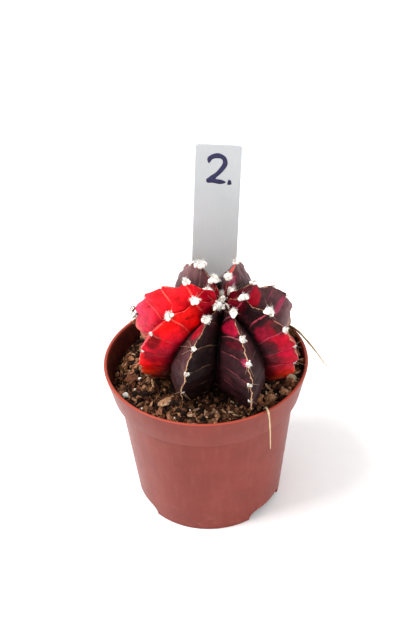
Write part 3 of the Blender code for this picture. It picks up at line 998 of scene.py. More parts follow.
@dataclass
class Plant:
    """The ribbed body: stepped crests, broad bowed faces, narrow grooves and a buried root."""

    centre: tuple[float, float, float] = (4.0 * MM, -1.6 * MM, 55.3 * MM)
    lean_forward: float = math.radians(11.5)
    lean_right: float = math.radians(4.1)
    upper_power: float = 0.97
    lower_power: float = 0.79
    neck: float = 5.5 * MM
    groove_neck: float = 3.0 * MM
    drop: float = 13.7 * MM
    root: float = 8.0 * MM
    root_width: float = 7.0 * MM
    root_tip: float = 4.0 * MM
    crown_sink: float = 3.4 * MM
    crown_width: float = 4.8 * MM
    groove_rise: float = 0.60
    bulge: float = 0.02
    chin: float = 0.05
    crown_dip: float = 0.09
    crest_round: float = 0.045
    groove_pinch: float = 1.0 * MM
    face_steps: int = 24
    lowest: float = 168.0
    highest: float = 5.0
    rows: int = 244
    soil_front: float = 42.2 * MM
    soil_back: float = 46.0 * MM
    pillow: float = 0.30 * MM
    wrinkle: float = 0.16 * MM
    corduroy: float = 0.35 * MM
    corduroy_ribs: tuple[int, int] = (0, 7)
    grid: Array = field(init=False)
    angles: Array = field(init=False)

    def __post_init__(self) -> None:
        """Works out the columns: which rib each belongs to, its side and its share of the face."""
        even = np.arange(self.face_steps) / self.face_steps
        going = 0.5 * even + 0.25 * (1 - np.cos(math.pi * even))
        count = len(RIBS)
        self.share = np.tile(np.concatenate([going, 1 - going]), count)
        ribs = np.arange(count)
        self.owner = np.repeat(np.stack([ribs, (ribs + 1) % count], 1).ravel(), self.face_steps)
        self.groove = np.repeat(ribs, 2 * self.face_steps)
        self.side = np.tile(np.repeat([1, -1], self.face_steps), count)
        self.angles = np.linspace(self.lowest, self.highest, self.rows)
        self.grid = self.placed(self.surface(self.angles))

    def placed(self, points: Array) -> Array:
        """Points of the plant's own upright frame, leant and moved to their place.

        Args:
            points: Points shaped (..., 3).

        Returns:
            The points in the frame of the model.
        """
        a, b = self.lean_forward, self.lean_right
        forward = np.array([[1, 0, 0], [0, math.cos(a), -math.sin(a)], [0, math.sin(a), math.cos(a)]])
        right = np.array([[math.cos(b), 0, math.sin(b)], [0, 1, 0], [-math.sin(b), 0, math.cos(b)]])
        return points @ (right @ forward).T + np.array(self.centre)

    def facts(self, *names: str) -> list[Array]:
        """The ribs' own numbers, one array for each name."""
        return [np.array([getattr(rib, name) for rib in RIBS], float) for name in names]

    def outline(
        self, angles: Array, reach: Array, rise: Array, neck: float, power: Array | float
    ) -> tuple[Array, Array]:
        """Radius and height of a meridian: a squashed quarter circle above, drawn in below.

        Args:
            angles: Degrees from the crown.
            reach: The largest radius.
            rise: The height above the widest level.
            neck: The radius that the lower part is drawn in to.
            power: How soon the lower part is drawn in: the larger, the sooner.

        Returns:
            Radii and heights.
        """
        turn = np.radians(angles)
        sine = np.sin(turn)
        up, down = np.maximum(np.cos(turn), 0), np.maximum(-np.cos(turn), 0)
        radius = reach * sine**self.upper_power
        sunk = self.crown_sink * np.exp(-((radius / self.crown_width) ** 2))
        height = rise * up**self.upper_power - sunk
        low_radius = neck + (reach - neck) * sine**power
        low_height = -self.drop * down**self.lower_power
        upper = np.asarray(angles) <= 90
        return np.where(upper, radius, low_radius), np.where(upper, height, low_height)

    def crests(self, angles: Array) -> Array:
        """Each rib's crest line: it steps in at each areole and dips between those by the crown.

        The step is a slow outward growth from one areole that falls back just before the next.

        Args:
            angles: Degrees from the crown.

        Returns:
            Points shaped (angles, ribs, 3).
        """
        azimuth, reach, rise, first, step = self.facts("azimuth", "reach", "rise", "first", "step")
        veer, power = self.facts("veer", "lower_power")
        down = angles[:, None]
        radius, height = self.outline(down, reach * MM, rise * MM, self.neck, power)
        part = (down - first) / step
        along = part - np.floor(part)
        tooth = along**1.2 * (1 - smooth_step(0.84, 1.0, along)) / 0.8
        fade = np.sin(np.radians(down)) ** 2
        by_crown = 1 - smooth_step(30, 52, down)
        size = 1 - self.chin * fade * (1 - tooth) * (1 - by_crown)
        size -= self.crown_dip * by_crown * np.sin(math.pi * along) ** 2 * smooth_step(4, 12, down)
        place = np.stack(np.broadcast_arrays(down / 7, 9.0 * np.arange(len(RIBS)), 0.0), axis=-1)
        wander = 1.1 * value_noise(place, 1.0, 5) * fade + veer * smooth_step(80, 130, down)
        return around(np.radians(azimuth + wander), radius * size, height * size)

    def grooves(self, angles: Array) -> Array:
        """The groove between each rib and the next, nearer the axis and lower than the crests.

        Args:
            angles: Degrees from the crown.

        Returns:
            Points shaped (angles, ribs, 3).
        """
        azimuth, reach, rise = self.facts("azimuth", "reach", "rise")
        veer, depth = self.facts("groove_veer", "groove_reach")
        span = (np.roll(azimuth, -1) - azimuth) % 360
        down = angles[:, None]
        mean_reach = depth * (reach + np.roll(reach, -1)) / 2 * MM
        mean_rise = self.groove_rise * (rise + np.roll(rise, -1)) / 2 * MM
        radius, height = self.outline(down, mean_reach, mean_rise, self.groove_neck, self.lower_power)
        return around(np.radians(azimuth + span / 2 + veer * smooth_step(60, 120, down)), radius, height)

    def surface(self, angles: Array) -> Array:
        """The body in its own frame: from crest to groove, with a rounded crest and bowed faces.

        Args:
            angles: Degrees from the crown, one for each row.

        Returns:
            Points shaped (rows, columns, 3).
        """
        crest = self.crests(angles)[:, self.owner]
        groove = self.grooves(angles)[:, self.groove]
        azimuths = np.radians([rib.azimuth for rib in RIBS])
        out = around(azimuths, 1.0, 0.0)[self.owner]
        between = groove - crest
        inwards = (between * out).sum(axis=-1, keepdims=True) * out
        share = self.share[:, None]
        soft = self.crest_round
        end = math.hypot(1, soft) - 0.6 * soft
        rounded = (np.sqrt(share**2 + soft**2) - 0.6 * soft) / end
        points = crest + (between - inwards) * share + inwards * rounded
        flat = (crest + groove) / 2 * LEVEL
        points += flat * self.bulge * 4 * share * (1 - share)
        valley = groove * LEVEL
        valley /= np.linalg.norm(valley, axis=-1, keepdims=True) + 1e-9
        sine = np.sin(np.radians(angles))[:, None, None]
        return points - valley * smooth_step(0.82, 1.0, share) * sine**2 * self.groove_pinch

    def normals(self, grid: Array) -> Array:
        """Outward unit normals of a grid of rows from the soil up and columns round the plant.

        Args:
            grid: The grid's points.

        Returns:
            A normal for each point.
        """
        along = np.gradient(grid, axis=0)
        wide = np.concatenate([grid[:, -1:], grid, grid[:, :1]], axis=1)
        across = (wide[:, 2:] - wide[:, :-2]) / 2
        normal = np.cross(across, along)
        return normal / (np.linalg.norm(normal, axis=-1, keepdims=True) + 1e-12)

    def contact(self) -> Array:
        """Where the soil meets the body: an even line, a little higher behind than in front.

        Returns:
            The row number in each column, with its fraction.
        """
        flat = self.grid[..., :2] - np.array(self.centre[:2])
        turn = np.arctan2(flat[..., 0], -flat[..., 1])
        middle, swing = (self.soil_front + self.soil_back) / 2, (self.soil_back - self.soil_front) / 2
        level = middle - swing * np.cos(turn)
        above = self.grid[..., 2] - level
        first = np.argmax(above > 0, axis=0)
        columns = np.arange(self.grid.shape[1])
        low, high = above[first - 1, columns], above[first, columns]
        return first - 1 + low / (low - high)

    def at_rows(self, values: Array, rows: Array) -> Array:
        """Values of the grid read between its rows, at rows shaped (n, columns).

        Args:
            values: Values shaped (rows, columns, ...).
            rows: Row numbers with fractions.

        Returns:
            Values shaped (n, columns, ...).
        """
        base = np.clip(np.floor(rows).astype(int), 0, len(values) - 2)
        columns = np.broadcast_to(np.arange(values.shape[1]), rows.shape)
        return mixed(values[base, columns], values[base + 1, columns], rows - base)

    def steps_down(self) -> Array:
        """How many areoles down its rib each point is, slanted and bowed towards the groove.

        Returns:
            Numbers shaped (rows, columns), whole at the veins.
        """
        first, step = self.facts("first", "step")
        bow = 0.30 * np.sin(math.pi * np.clip(self.share, 0, 1)) * self.share
        return (self.angles[:, None] - first[self.owner]) / step[self.owner] - 0.12 * self.share + bow

    def painted(self) -> tuple[Array, dict[str, Array]]:
        """The paint of every point: its colour, darkened by painted shade deep in the grooves, and those of
        its vein and its crest.

        Returns:
            How corky each point is, and the attributes by name.
        """
        shape = self.grid.shape
        noise = layered_noise(self.grid, 7 * MM, 11)
        angles = self.angles[:, None] + 9 * noise
        share = np.clip(self.share + 0.16 * layered_noise(self.grid, 4 * MM, 13), 0, 1)
        paint = {name: np.zeros(shape) for name in ("paint", "vein_paint", "crest_paint")}
        strength = {name: np.zeros(shape[:2]) for name in ("vein_share", "crest_share")}
        blend = smooth_step(0.25, 0.95, share)
        for number, rib in enumerate(RIBS):
            for side, palette in ((1, rib.after), (-1, rib.before)):
                mine = (self.owner == number) & (self.side == side)
                face = palette.value
                paint["paint"][:, mine] = face.colours(angles[:, mine], blend[:, mine])
                paint["vein_paint"][:, mine] = face.vein
                paint["crest_paint"][:, mine] = face.crest
                strength["vein_share"][:, mine] = face.vein_share
                strength["crest_share"][:, mine] = face.crest_share
        rough = layered_noise(self.grid, 2.2 * MM, 17)
        for patch in BLOTCHES:
            mine = (self.owner == patch.rib) & (self.side == patch.side)
            tall = (self.angles[:, None] - patch.angle) / patch.tall
            wide = (self.share[None, mine] - patch.share) / patch.wide
            near = np.hypot(tall, wide) + 0.45 * rough[:, mine]
            amount = patch.strength * smooth_step(1.25, 0.75, near)
            old = paint["paint"][:, mine]
            paint["paint"][:, mine] = mixed(old, np.broadcast_to(patch.colour, old.shape), amount)
        mottle = layered_noise(self.grid * np.array([1, 1, 1.6]), 1.5 * MM, 41)
        lighter = np.clip(mottle, 0, 1) * 0.16
        colours = mixed(paint["paint"], paint["vein_paint"], lighter * strength["vein_share"])
        colours = colours * (1 - 0.35 * np.clip(-mottle, 0, 1))[..., None]
        # Painted shade: the colour falls to near black deep in each groove, less so lower down where the
        # grooves open.
        groove = smooth_step(0.86, 0.99, self.share) * (1 - 0.5 * smooth_step(60, 100, self.angles[:, None]))
        paint["paint"] = np.clip(mixed(colours, colours * 0.05, groove), 0, 1)
        low = smooth_step(112, 132, self.angles[:, None] + 8 * mottle)
        paint["paint"] = mixed(paint["paint"], np.broadcast_to(UMBER, shape), low * 0.5)
        strength["down"] = self.steps_down()
        strength["across"] = np.broadcast_to(self.side * self.share, shape[:2])
        strength["share"] = np.broadcast_to(self.share, shape[:2])
        cork = low * smooth_step(0.1, 0.6, mottle)
        return cork, {**paint, **strength}

    def build(self, flesh: bpy.types.Material) -> None:
        """Makes the body: pillows between the veins and wrinkles stand out along the normals.

        The two back ribs have upright wrinkles too.

        Args:
            flesh: Its finish.
        """
        down = self.steps_down()
        along = down - np.floor(down)
        face = smooth_step(0.03, 0.2, self.share) * smooth_step(1.0, 0.75, self.share)
        relief = self.pillow * np.sin(math.pi * along) ** 0.6 * face
        relief = relief + self.wrinkle * layered_noise(self.grid, 2.6 * MM, 21)
        ribbed = layered_noise(self.grid * np.array([1, 1, 0.25]), 1.3 * MM, 25)
        behind = np.isin(self.owner, self.corduroy_ribs) * face
        relief = relief + self.corduroy * ribbed * behind
        relief *= np.sin(np.radians(np.clip(self.angles, 0, 150)))[:, None]
        shown = self.grid + self.normals(self.grid) * relief[..., None]
        cork, marks = self.painted()
        flat = self.surface(self.angles[:1])[0] * LEVEL
        flat /= np.linalg.norm(flat, axis=-1, keepdims=True)
        shares = np.linspace(1.0, 0.15, 6)[:, None, None]
        radius = self.root_width + (self.root_tip - self.root_width) * shares
        level = -self.drop - self.root * shares
        roots = self.placed(flat * radius + level * UP)
        tip = self.placed(-UP * (self.drop + self.root))
        crown_rise = self.groove_rise * RIBS[0].rise * MM
        crown_height = self.outline(np.array([0.0]), 0.0, crown_rise, 0.0, 1.0)[1][0]
        top = self.placed(UP * crown_height)
        body = skinned(np.concatenate([roots, shown]), tip, top)
        under = 1 + roots.shape[0] * roots.shape[1]
        full = {name: self.padded(values, under) for name, values in {**marks, "tone": cork}.items()}
        full["paint"][:under] = UMBER
        body.with_tone(full.pop("tone"))
        add_piece("body", body, [flesh], ("cactus_body",), full)

    @staticmethod
    def padded(values: Array, under: int) -> Array:
        """A grid's values in the order of the skin's points, with the root's and the top's added.

        Args:
            values: Values shaped (rows, columns, ...).
            under: How many points the skin has before the grid's.

        Returns:
            A value for each point of the skin.
        """
        flat = values.reshape(-1, *values.shape[2:])
        root = np.repeat(flat[:1] * 0, under, axis=0)
        return np.concatenate([root, flat, flat[-1:]])

    def areole(self, rib: Rib, angle: float) -> tuple[Array, Array, Array]:
        """Where an areole sits: its point, the way out and the way up the crest.

        Args:
            rib: Its rib.
            angle: Its angle from the crown, in degrees.

        Returns:
            The point and the two unit directions.
        """
        column = int(np.flatnonzero((self.owner == RIBS.index(rib)) & (self.share == 0))[0])
        near = self.placed(self.surface(np.array([angle + 3, angle, angle - 3])))[:, column]
        up = near[2] - near[0]
        up /= np.linalg.norm(up)
        turn = math.radians(rib.azimuth)
        out = np.cross(np.array([math.cos(turn), math.sin(turn), 0]), up)
        return near[1], out / np.linalg.norm(out), up


@dataclass(frozen=True)
class CrownTuft:
    """A tuft in the crown: azimuth in degrees, distance, height and size in millimetres."""

    azimuth: float
    distance: float
    height: float
    radius: float


CROWN_TUFTS = [
    CrownTuft(-133, 4.8, 10.6, 1.45), CrownTuft(144, 4.0, 10.6, 1.5), CrownTuft(-178, 2.5, 10.4, 1.05),
    CrownTuft(177, 0.7, 10.3, 0.95), CrownTuft(-38, 2.2, 10.3, 1.15), CrownTuft(21, 1.8, 10.3, 1.0),
    CrownTuft(-114, 3.1, 10.2, 0.75), CrownTuft(93, 3.9, 10.4, 0.8), CrownTuft(-80, 1.6, 10.0, 0.7),
    CrownTuft(115, 2.0, 10.0, 0.75),
]


@dataclass
class Tufts:
    """Woolly areoles on the ribs and in the crown, each with fine hairs and brown spines."""

    plant: Plant
    heap_lumps: int = 11
    hairs: int = 300
    hair: float = 0.026 * MM
    hair_points: int = 6
    hair_sides: int = 3
    wisps: int = 18
    spine_length: float = 3.3 * MM
    spine_points: int = 9
    spine_sides: int = 5
    husk_rib: int = 1
    husk_angles: tuple[float, ...] = (82.0, 92.0, 101.0)
    shreds: int = 7
    shred_points: int = 22
    shred_sides: int = 5

    def tuft(
        self, point: Array, out: Array, up: Array, radius: float, spines: int, seed: int
    ) -> tuple[Shape, Shape]:
        """One tuft: a small heap, hairs gathered into pointed wisps, and thin spines.

        Each hair runs from a random start in the heap to near its wisp's point, with a bend.

        Args:
            point: Where it sits.
            out: The way out of the plant.
            up: The way up the crest.
            radius: The tuft's radius.
            spines: How many spines.
            seed: Picks its shape.

        Returns:
            The wool and the spines.
        """
        dice = np.random.default_rng(seed)
        frame = np.stack([np.cross(out, up), up, out])
        middle = point + out * radius * 0.22
        spread = dice.normal(size=(self.heap_lumps, 3)) * np.array([0.30, 0.34, 0.15]) * radius
        spread[0] = 0
        sizes = np.full(spread.shape, 0.5 * radius) * dice.uniform(0.6, 1.1, (self.heap_lumps, 1))
        heap = lumps(middle + spread @ frame, sizes, 3, 0.35, seed)
        heap.tones = 0.1 + 0.5 * heap.tones
        ways = dice.normal(size=(self.wisps, 3))
        ways[:, 2] = np.abs(ways[:, 2]) * 0.8 + 0.15
        ways[:, 1] -= 0.35
        ways /= np.linalg.norm(ways, axis=1, keepdims=True)
        tips = ways * radius * dice.uniform(0.7, 1.4, (self.wisps, 1))
        wisp = dice.integers(0, self.wisps, self.hairs)
        start = dice.normal(size=(self.hairs, 3)) * radius * np.array([0.30, 0.30, 0.16])
        end = tips[wisp] + dice.normal(size=(self.hairs, 3)) * radius * 0.17
        steps = np.linspace(0, 1, self.hair_points)[None, :, None]
        lift = np.array([0, 0, 0.5 * radius]) * (steps * (1 - steps))
        curl = dice.normal(size=(self.hairs, 1, 3)) * radius * 0.45 * steps * (1 - steps)
        local = start[:, None] + (end - start)[:, None] * steps + lift + curl
        paths = middle + local @ frame
        thick = self.hair * (1.1 - 0.85 * steps[..., 0]) * dice.uniform(0.7, 1.3, (self.hairs, 1))
        tones = np.repeat(dice.uniform(0, 0.3, self.hairs), self.hair_points * self.hair_sides)
        wool = joined([heap, strands(paths, thick, self.hair_sides).with_tone(tones)])
        return wool, self.spines(middle, frame, spines, dice)

    def spines(self, middle: Array, frame: Array, count: int, dice: np.random.Generator) -> Shape:
        """Thin tapered spines that spread from a tuft and bend a little.

        Args:
            middle: The tuft's middle.
            frame: Its sideways, up and out directions.
            count: How many spines.
            dice: The seeded source of chance.

        Returns:
            The spines.
        """
        turn = dice.uniform(0, math.tau, count)
        tilt = dice.uniform(0.55, 1.15, count)
        ways = np.stack([np.sin(tilt) * np.cos(turn), np.sin(tilt) * np.sin(turn), np.cos(tilt)], 1)
        steps = np.linspace(0, 1, self.spine_points)[None, :, None]
        bend = dice.normal(size=(count, 1, 3)) * 0.14
        sizes = self.spine_length * dice.uniform(0.6, 1.2, (count, 1, 1))
        paths = middle + ((ways[:, None] + bend * steps) * steps * sizes) @ frame
        thick = (0.075 * (1 - steps[..., 0]) + 0.014) * MM * np.ones((count, 1))
        tones = np.tile(np.repeat(steps.ravel(), self.spine_sides), count)
        return strands(paths, thick, self.spine_sides).with_tone(tones)

    def add(
        self,
        name: str,
        parts: list[tuple[Shape, Shape]],
        finishes: list[bpy.types.Material],
        nodes: tuple[str, ...],
    ) -> None:
        """Joins tufts into one piece, wool first, and adds it.

        Args:
            name: The piece's name.
            parts: The wool and the spines of each tuft.
            finishes: Wool and spine.
            nodes: The nodes of the frame that the piece replaces.
        """
        wool, thorns = joined([a for a, _ in parts]), joined([b for _, b in parts])
        shape = joined([wool, thorns])
        marks = [(wool.triangles, 0), (thorns.triangles, 1), (wool.quads, 0), (thorns.quads, 1)]
        which = np.concatenate([np.full(len(faces), mark) for faces, mark in marks])
        add_piece(name, shape, finishes, nodes, None, which)

    def build(self, finishes: list[bpy.types.Material]) -> None:
        """Makes the tufts of each rib and of the crown.

        Args:
            finishes: Wool and spine.
        """
        for number, rib in enumerate(RIBS):
            parts = []
            for place, (angle, radius) in enumerate(zip(rib.areole_angles(), rib.tufts)):
                point, out, up = self.plant.areole(rib, angle)
                spines = 2 if place == 0 else 3
                parts.append(self.tuft(point, out, up, radius * MM, spines, 100 * number + place))
            nodes = tuple(f"areole_{rib.name}_{place + 1}" for place in range(len(rib.tufts) - rib.extra))
            self.add(f"areoles_{rib.name}", parts, finishes, nodes)
        self.add("crown_tufts", self.crown(), finishes, ("crown_wool",))

    def build_husk(self, dry: bpy.types.Material) -> None:
        """Makes the dry curled remains of a flower that hang on the tip of the left rib.

        Each shred is a helix of random size that runs outwards from the crest.

        Args:
            dry: Its finish.
        """
        dice = np.random.default_rng(61)
        parts = []
        count = self.shreds
        steps = np.linspace(0, 1, self.shred_points)[None, :, None]
        for angle in self.husk_angles:
            point, out, up = self.plant.areole(RIBS[self.husk_rib], angle)
            side = np.cross(out, up)
            ways = out * dice.uniform(0.1, 0.8, (count, 1)) - up * dice.uniform(-0.4, 0.9, (count, 1))
            ways = ways + side * dice.uniform(-0.6, 0.6, (count, 1))
            turn = dice.uniform(0, math.tau, (count, 1, 1)) + steps * dice.uniform(4, 11, (count, 1, 1))
            coil = dice.uniform(0.3, 0.9, (count, 1, 1)) * np.sqrt(steps)
            curl = (np.cos(turn) * side + np.sin(turn) * up) * coil
            run = ways[:, None] * steps * dice.uniform(1.6, 3.4, (count, 1, 1))
            paths = point - out * 0.2 * MM + (run + curl) * MM
            thick = (0.15 - 0.1 * steps[..., 0]) * MM * dice.uniform(0.6, 1.3, (count, 1))
            tones = np.repeat(dice.random(count), self.shred_points * self.shred_sides)
            parts.append(strands(paths, thick, self.shred_sides).with_tone(tones))
        add_piece("dry_husk", joined(parts), [dry])

    def crown(self) -> list[tuple[Shape, Shape]]:
        """The tufts round the growing point, which lean outwards.

        Returns:
            The wool and the spines of each tuft.
        """
        parts = []
        for number, spot in enumerate(CROWN_TUFTS):
            turn = math.radians(spot.azimuth)
            place = around(turn, spot.distance * MM, spot.height * MM)
            lean = around(turn, 0.09 * spot.distance, 1.0)
            ends = self.plant.placed(np.stack([place, place + lean * MM]))
            out = (ends[1] - ends[0]) / np.linalg.norm(ends[1] - ends[0])
            up = np.cross(out, [1.0, 0, 0])
            up /= np.linalg.norm(up)
            parts.append(self.tuft(ends[0], out, up, spot.radius * MM, 2, 900 + number))
        return parts


# ---------------------------------------------------------------- pot, soil and what lies on it


@dataclass
class Pot:
    """A tapered nursery pot with a rim band, a rounded lip and three drain notches at its foot."""

    height: float = 44.5 * MM
    rim: float = 27.5 * MM
    band: float = 9.0 * MM
    band_low: float = 25.6 * MM
    body_top: float = 23.9 * MM
    base: float = 19.9 * MM
    wall: float = 0.9 * MM
    floor: float = 1.3 * MM
    columns: int = 288
    notch_height: float = 2.8 * MM
    notch_inner: float = 16.0 * MM
    notch_arc: float = math.radians(40)
    notch_azimuths: tuple[float, ...] = (52, 172, 292)

    def inner(self, height: Array) -> Array:
        """The band's inner radius at a height."""
        share = (height - (self.height - self.band)) / self.band
        return self.band_low + (self.rim - self.band_low) * share - self.wall

    def profile(self) -> Array:
        """The wall's outline, from under the foot out and over the lip to the floor inside.

        Each corner is cut by a short parabola between points near it on its two edges.

        Returns:
            Points of radius and height.
        """
        step = self.height - self.band
        corners = np.array([
            (self.notch_inner, 0.0), (self.base, 0.0), (self.body_top, step - 0.3 * MM),
            (self.band_low - 0.2 * MM, step), (self.rim, self.height), (self.rim - self.wall, self.height),
            (self.band_low - self.wall, step + self.wall), (self.body_top - self.wall, step - 0.2 * MM),
            (self.base - self.wall, self.floor), (self.base - 4 * MM, self.floor),
        ])
        reach = np.array([0.5, 0.5, 0.35, 0.45, 0.42, 0.42, 0.4, 0.4, 0.5, 0.5]) * MM
        points = [corners[:1]]
        share = np.linspace(0, 1, 7)[:, None]
        for before, corner, after, size in zip(corners, corners[1:], corners[2:], reach[1:]):
            start = corner + (before - corner) * size / np.linalg.norm(before - corner)
            end = corner + (after - corner) * size / np.linalg.norm(after - corner)
            points.append((1 - share) ** 2 * start + 2 * share * (1 - share) * corner + share**2 * end)
        return np.concatenate([*points, corners[-1:]])

    def cutter(self, azimuth: float) -> Shape:
        """An arched block across the floor's edge and the wall's foot.

        Args:
            azimuth: The middle of the notch, in radians.

        Returns:
            The block.
        """
        share = np.linspace(-1, 1, 25)
        top = self.notch_height * (1 - 0.55 * share**8)
        low = np.full_like(top, -MM)
        outer = self.base + 2 * MM
        turn = azimuth + share * self.notch_arc / 2
        corners = [(self.notch_inner, low), (self.notch_inner, top), (outer, top), (outer, low)]
        rows = np.stack([around(turn, radius, level) for radius, level in corners], axis=1)
        return skinned(rows, rows[0].mean(0), rows[-1].mean(0))

    def build(self, plastic: bpy.types.Material) -> None:
        """Makes the pot and cuts its notches.

        Args:
            plastic: Its finish.
        """
        profile = self.profile()
        turns = np.arange(self.columns) * math.tau / self.columns
        rows = around(turns[None], profile[:, :1], profile[:, 1:])
        shape = skinned(rows, np.zeros(3), np.array([0, 0, self.floor]))
        pot = add_piece("pot", shape, [plastic], ("plant_pot",))
        cutters = []
        for azimuth in self.notch_azimuths:
            block = self.cutter(math.radians(azimuth))
            mesh = bpy.data.meshes.new("notch")
            faces = [*block.triangles.tolist(), *block.quads.tolist()]
            mesh.from_pydata(block.points.tolist(), [], faces)
            cutter = bpy.data.objects.new("notch", mesh)
            bpy.context.scene.collection.objects.link(cutter)
            outwards(mesh)
            cut = pot.modifiers.new("notch", "BOOLEAN")
            cut.operation, cut.solver, cut.object = "DIFFERENCE", "EXACT", cutter
            cutters.append(cutter)
        graph = bpy.context.evaluated_depsgraph_get()
        whole = bpy.data.meshes.new_from_object(pot.evaluated_get(graph))
        pot.modifiers.clear()
        pot.data = whole
        whole.set_sharp_from_angle(angle=math.radians(40))
        for cutter in cutters:
            bpy.data.objects.remove(cutter)


def outwards(mesh: bpy.types.Mesh) -> None:
    """Turns a closed mesh's faces outwards.

    Args:
        mesh: The mesh, which is changed.
    """
    build = bmesh.new()
    build.from_mesh(mesh)
    bmesh.ops.recalc_face_normals(build, faces=build.faces)
    build.to_mesh(mesh)
    build.free()


@dataclass
class Soil:
    """Peat that fills the pot, heaped against the plant, with crumbs, chips and fibres on it."""

    pot: Pot
    plant: Plant
    level: float = 39.9 * MM
    slope: float = 2.2 * MM
    high_azimuth: float = math.radians(115)
    mound: float = 2.4
    rings: int = 56
    hollow_rows: int = 14
    bump: float = 0.75 * MM
    gap: float = 0.35 * MM

    def __post_init__(self) -> None:
        """Finds the line where the soil meets the plant and the line where it meets the wall."""
        plant = self.plant
        skin = plant.grid + plant.normals(plant.grid) * self.gap
        self.hollow = plant.at_rows(skin, np.linspace(0, 1, self.hollow_rows)[:, None] * plant.contact())
        self.line = self.hollow[-1]
        self.middle = self.line.mean(axis=0) * LEVEL
        flat = (self.line - self.middle) * LEVEL
        self.near = np.linalg.norm(flat, axis=1)
        self.ways = flat / self.near[:, None]
        azimuth = np.arctan2(self.ways[:, 0], -self.ways[:, 1])
        self.edge_height = self.level + self.slope * np.cos(azimuth - self.high_azimuth)
        self.far = self.to_wall(self.pot.inner(self.edge_height) - 0.2 * MM)
        self.order = np.argsort(azimuth)
        self.azimuth = azimuth

    def to_wall(self, radius: Array) -> Array:
        """How far it is from the middle to a circle about the pot's axis, each way.

        Args:
            radius: The circle's radius, or one for each way.

        Returns:
            A distance for each way.
        """
        along = self.ways @ self.middle
        square = self.middle @ self.middle - np.asarray(radius) ** 2
        return -along + np.sqrt(along**2 - square)

    def around_middle(self, values: Array, azimuth: Array) -> Array:
        """Values of the columns read at other azimuths about the middle."""
        return np.interp(azimuth, self.azimuth[self.order], values[self.order], period=math.tau)

    def heights(self, places: Array) -> Array:
        """The soil's height: from the wall up to the plant by a power of the share, plus bumps.

        Args:
            places: Points, whose X and Y are read.

        Returns:
            Heights.
        """
        flat = (places - self.middle) * LEVEL
        distance = np.linalg.norm(flat, axis=-1)
        azimuth = np.arctan2(flat[..., 0], -flat[..., 1])
        near, far = self.around_middle(self.near, azimuth), self.around_middle(self.far, azimuth)
        low = self.around_middle(self.edge_height, azimuth)
        high = self.around_middle(self.line[:, 2], azimuth)
        share = np.clip((far - distance) / (far - near), 0, 1)
        still = np.sin(math.pi * share) ** 0.5
        ground = places * LEVEL
        bumps = 1.1 * layered_noise(ground, 6 * MM, 61, 3) + 0.5 * layered_noise(ground, 1.5 * MM, 71, 3)
        return low + (high - low) * share**self.mound + self.bump * bumps * still

    def build(self, peat: bpy.types.Material) -> None:
        """Makes the body of soil.

        Args:
            peat: Its finish.
        """
        pot = self.pot
        step = pot.height - pot.band
        walls = [
            (pot.base - pot.wall - 0.6 * MM, pot.floor + 0.2 * MM),
            (pot.body_top - pot.wall - 0.3 * MM, step - 0.4 * MM),
            (pot.band_low - pot.wall - 0.3 * MM, step + pot.wall + 0.5 * MM),
        ]
        rows = [self.middle + self.ways * self.to_wall(r)[:, None] + UP * z for r, z in walls]
        shares = np.linspace(0, 1, self.rings)[:, None]
        distance = self.far + (self.near - self.far) * shares
        top = self.middle + self.ways * distance[..., None]
        top += UP * self.heights(top)[..., None]
        grid = np.concatenate([np.stack(rows), top, self.hollow[::-1]])
        bottom = self.middle + UP * (pot.floor + 0.2 * MM)
        inner = self.hollow[0].mean(axis=0) - UP * MM
        shape = skinned(grid, bottom, inner)
        add_piece("soil", shape, [peat], ("potting_soil",))

    def places(self, count: int, dice: np.random.Generator, margin: float = 0.03) -> Array:
        """Random places on the soil's surface, even over its area.

        Args:
            count: How many.
            dice: The seeded source of chance.
            margin: The share of the width that is left free at each side.

        Returns:
            Points on the surface.
        """
        azimuth = dice.uniform(-math.pi, math.pi, count)
        near, far = self.around_middle(self.near, azimuth), self.around_middle(self.far, azimuth)
        share = dice.uniform(margin, 1 - margin, count)
        distance = np.sqrt(near**2 + (far**2 - near**2) * share)
        points = self.middle + around(azimuth, distance, 0.0)
        points[:, 2] = self.heights(points)
        return points


@dataclass(frozen=True)
class Kind:
    """One kind of loose bit: how many, their half lengths and shape, and how rough they are.

    The three half sizes are the length times fixed shares, or random ones between two ends.
    """

    piece: str
    slot: str
    count: int
    margin: float
    lengths: tuple[float, float]
    shares: tuple[float, ...]
    lift: float
    detail: int
    rough: float
    seed: int


KINDS = [
    Kind("soil_crumbs", "potting_soil", 4600, 0.0, (0.12, 0.42), (0.7, 1.3), 0.1, 1, 0.5, 81),
    Kind("soil_crumbs", "potting_soil", 700, 0.05, (0.35, 1.0), (0.7, 1.2), 0.2, 2, 0.55, 82),
    Kind("soil_chips", "wood_chip", 330, 0.06, (0.5, 1.5), (1, 0.5, 0.28), 0.4, 2, 0.7, 83),
    Kind("soil_flakes", "bark", 120, 0.08, (0.8, 1.8), (1, 0.55, 0.34), 0.5, 3, 0.95, 85),
    Kind("soil_perlite", "perlite", 45, 0.08, (0.2, 0.5), (0.8, 1.2), 0.3, 2, 0.3, 84),
]


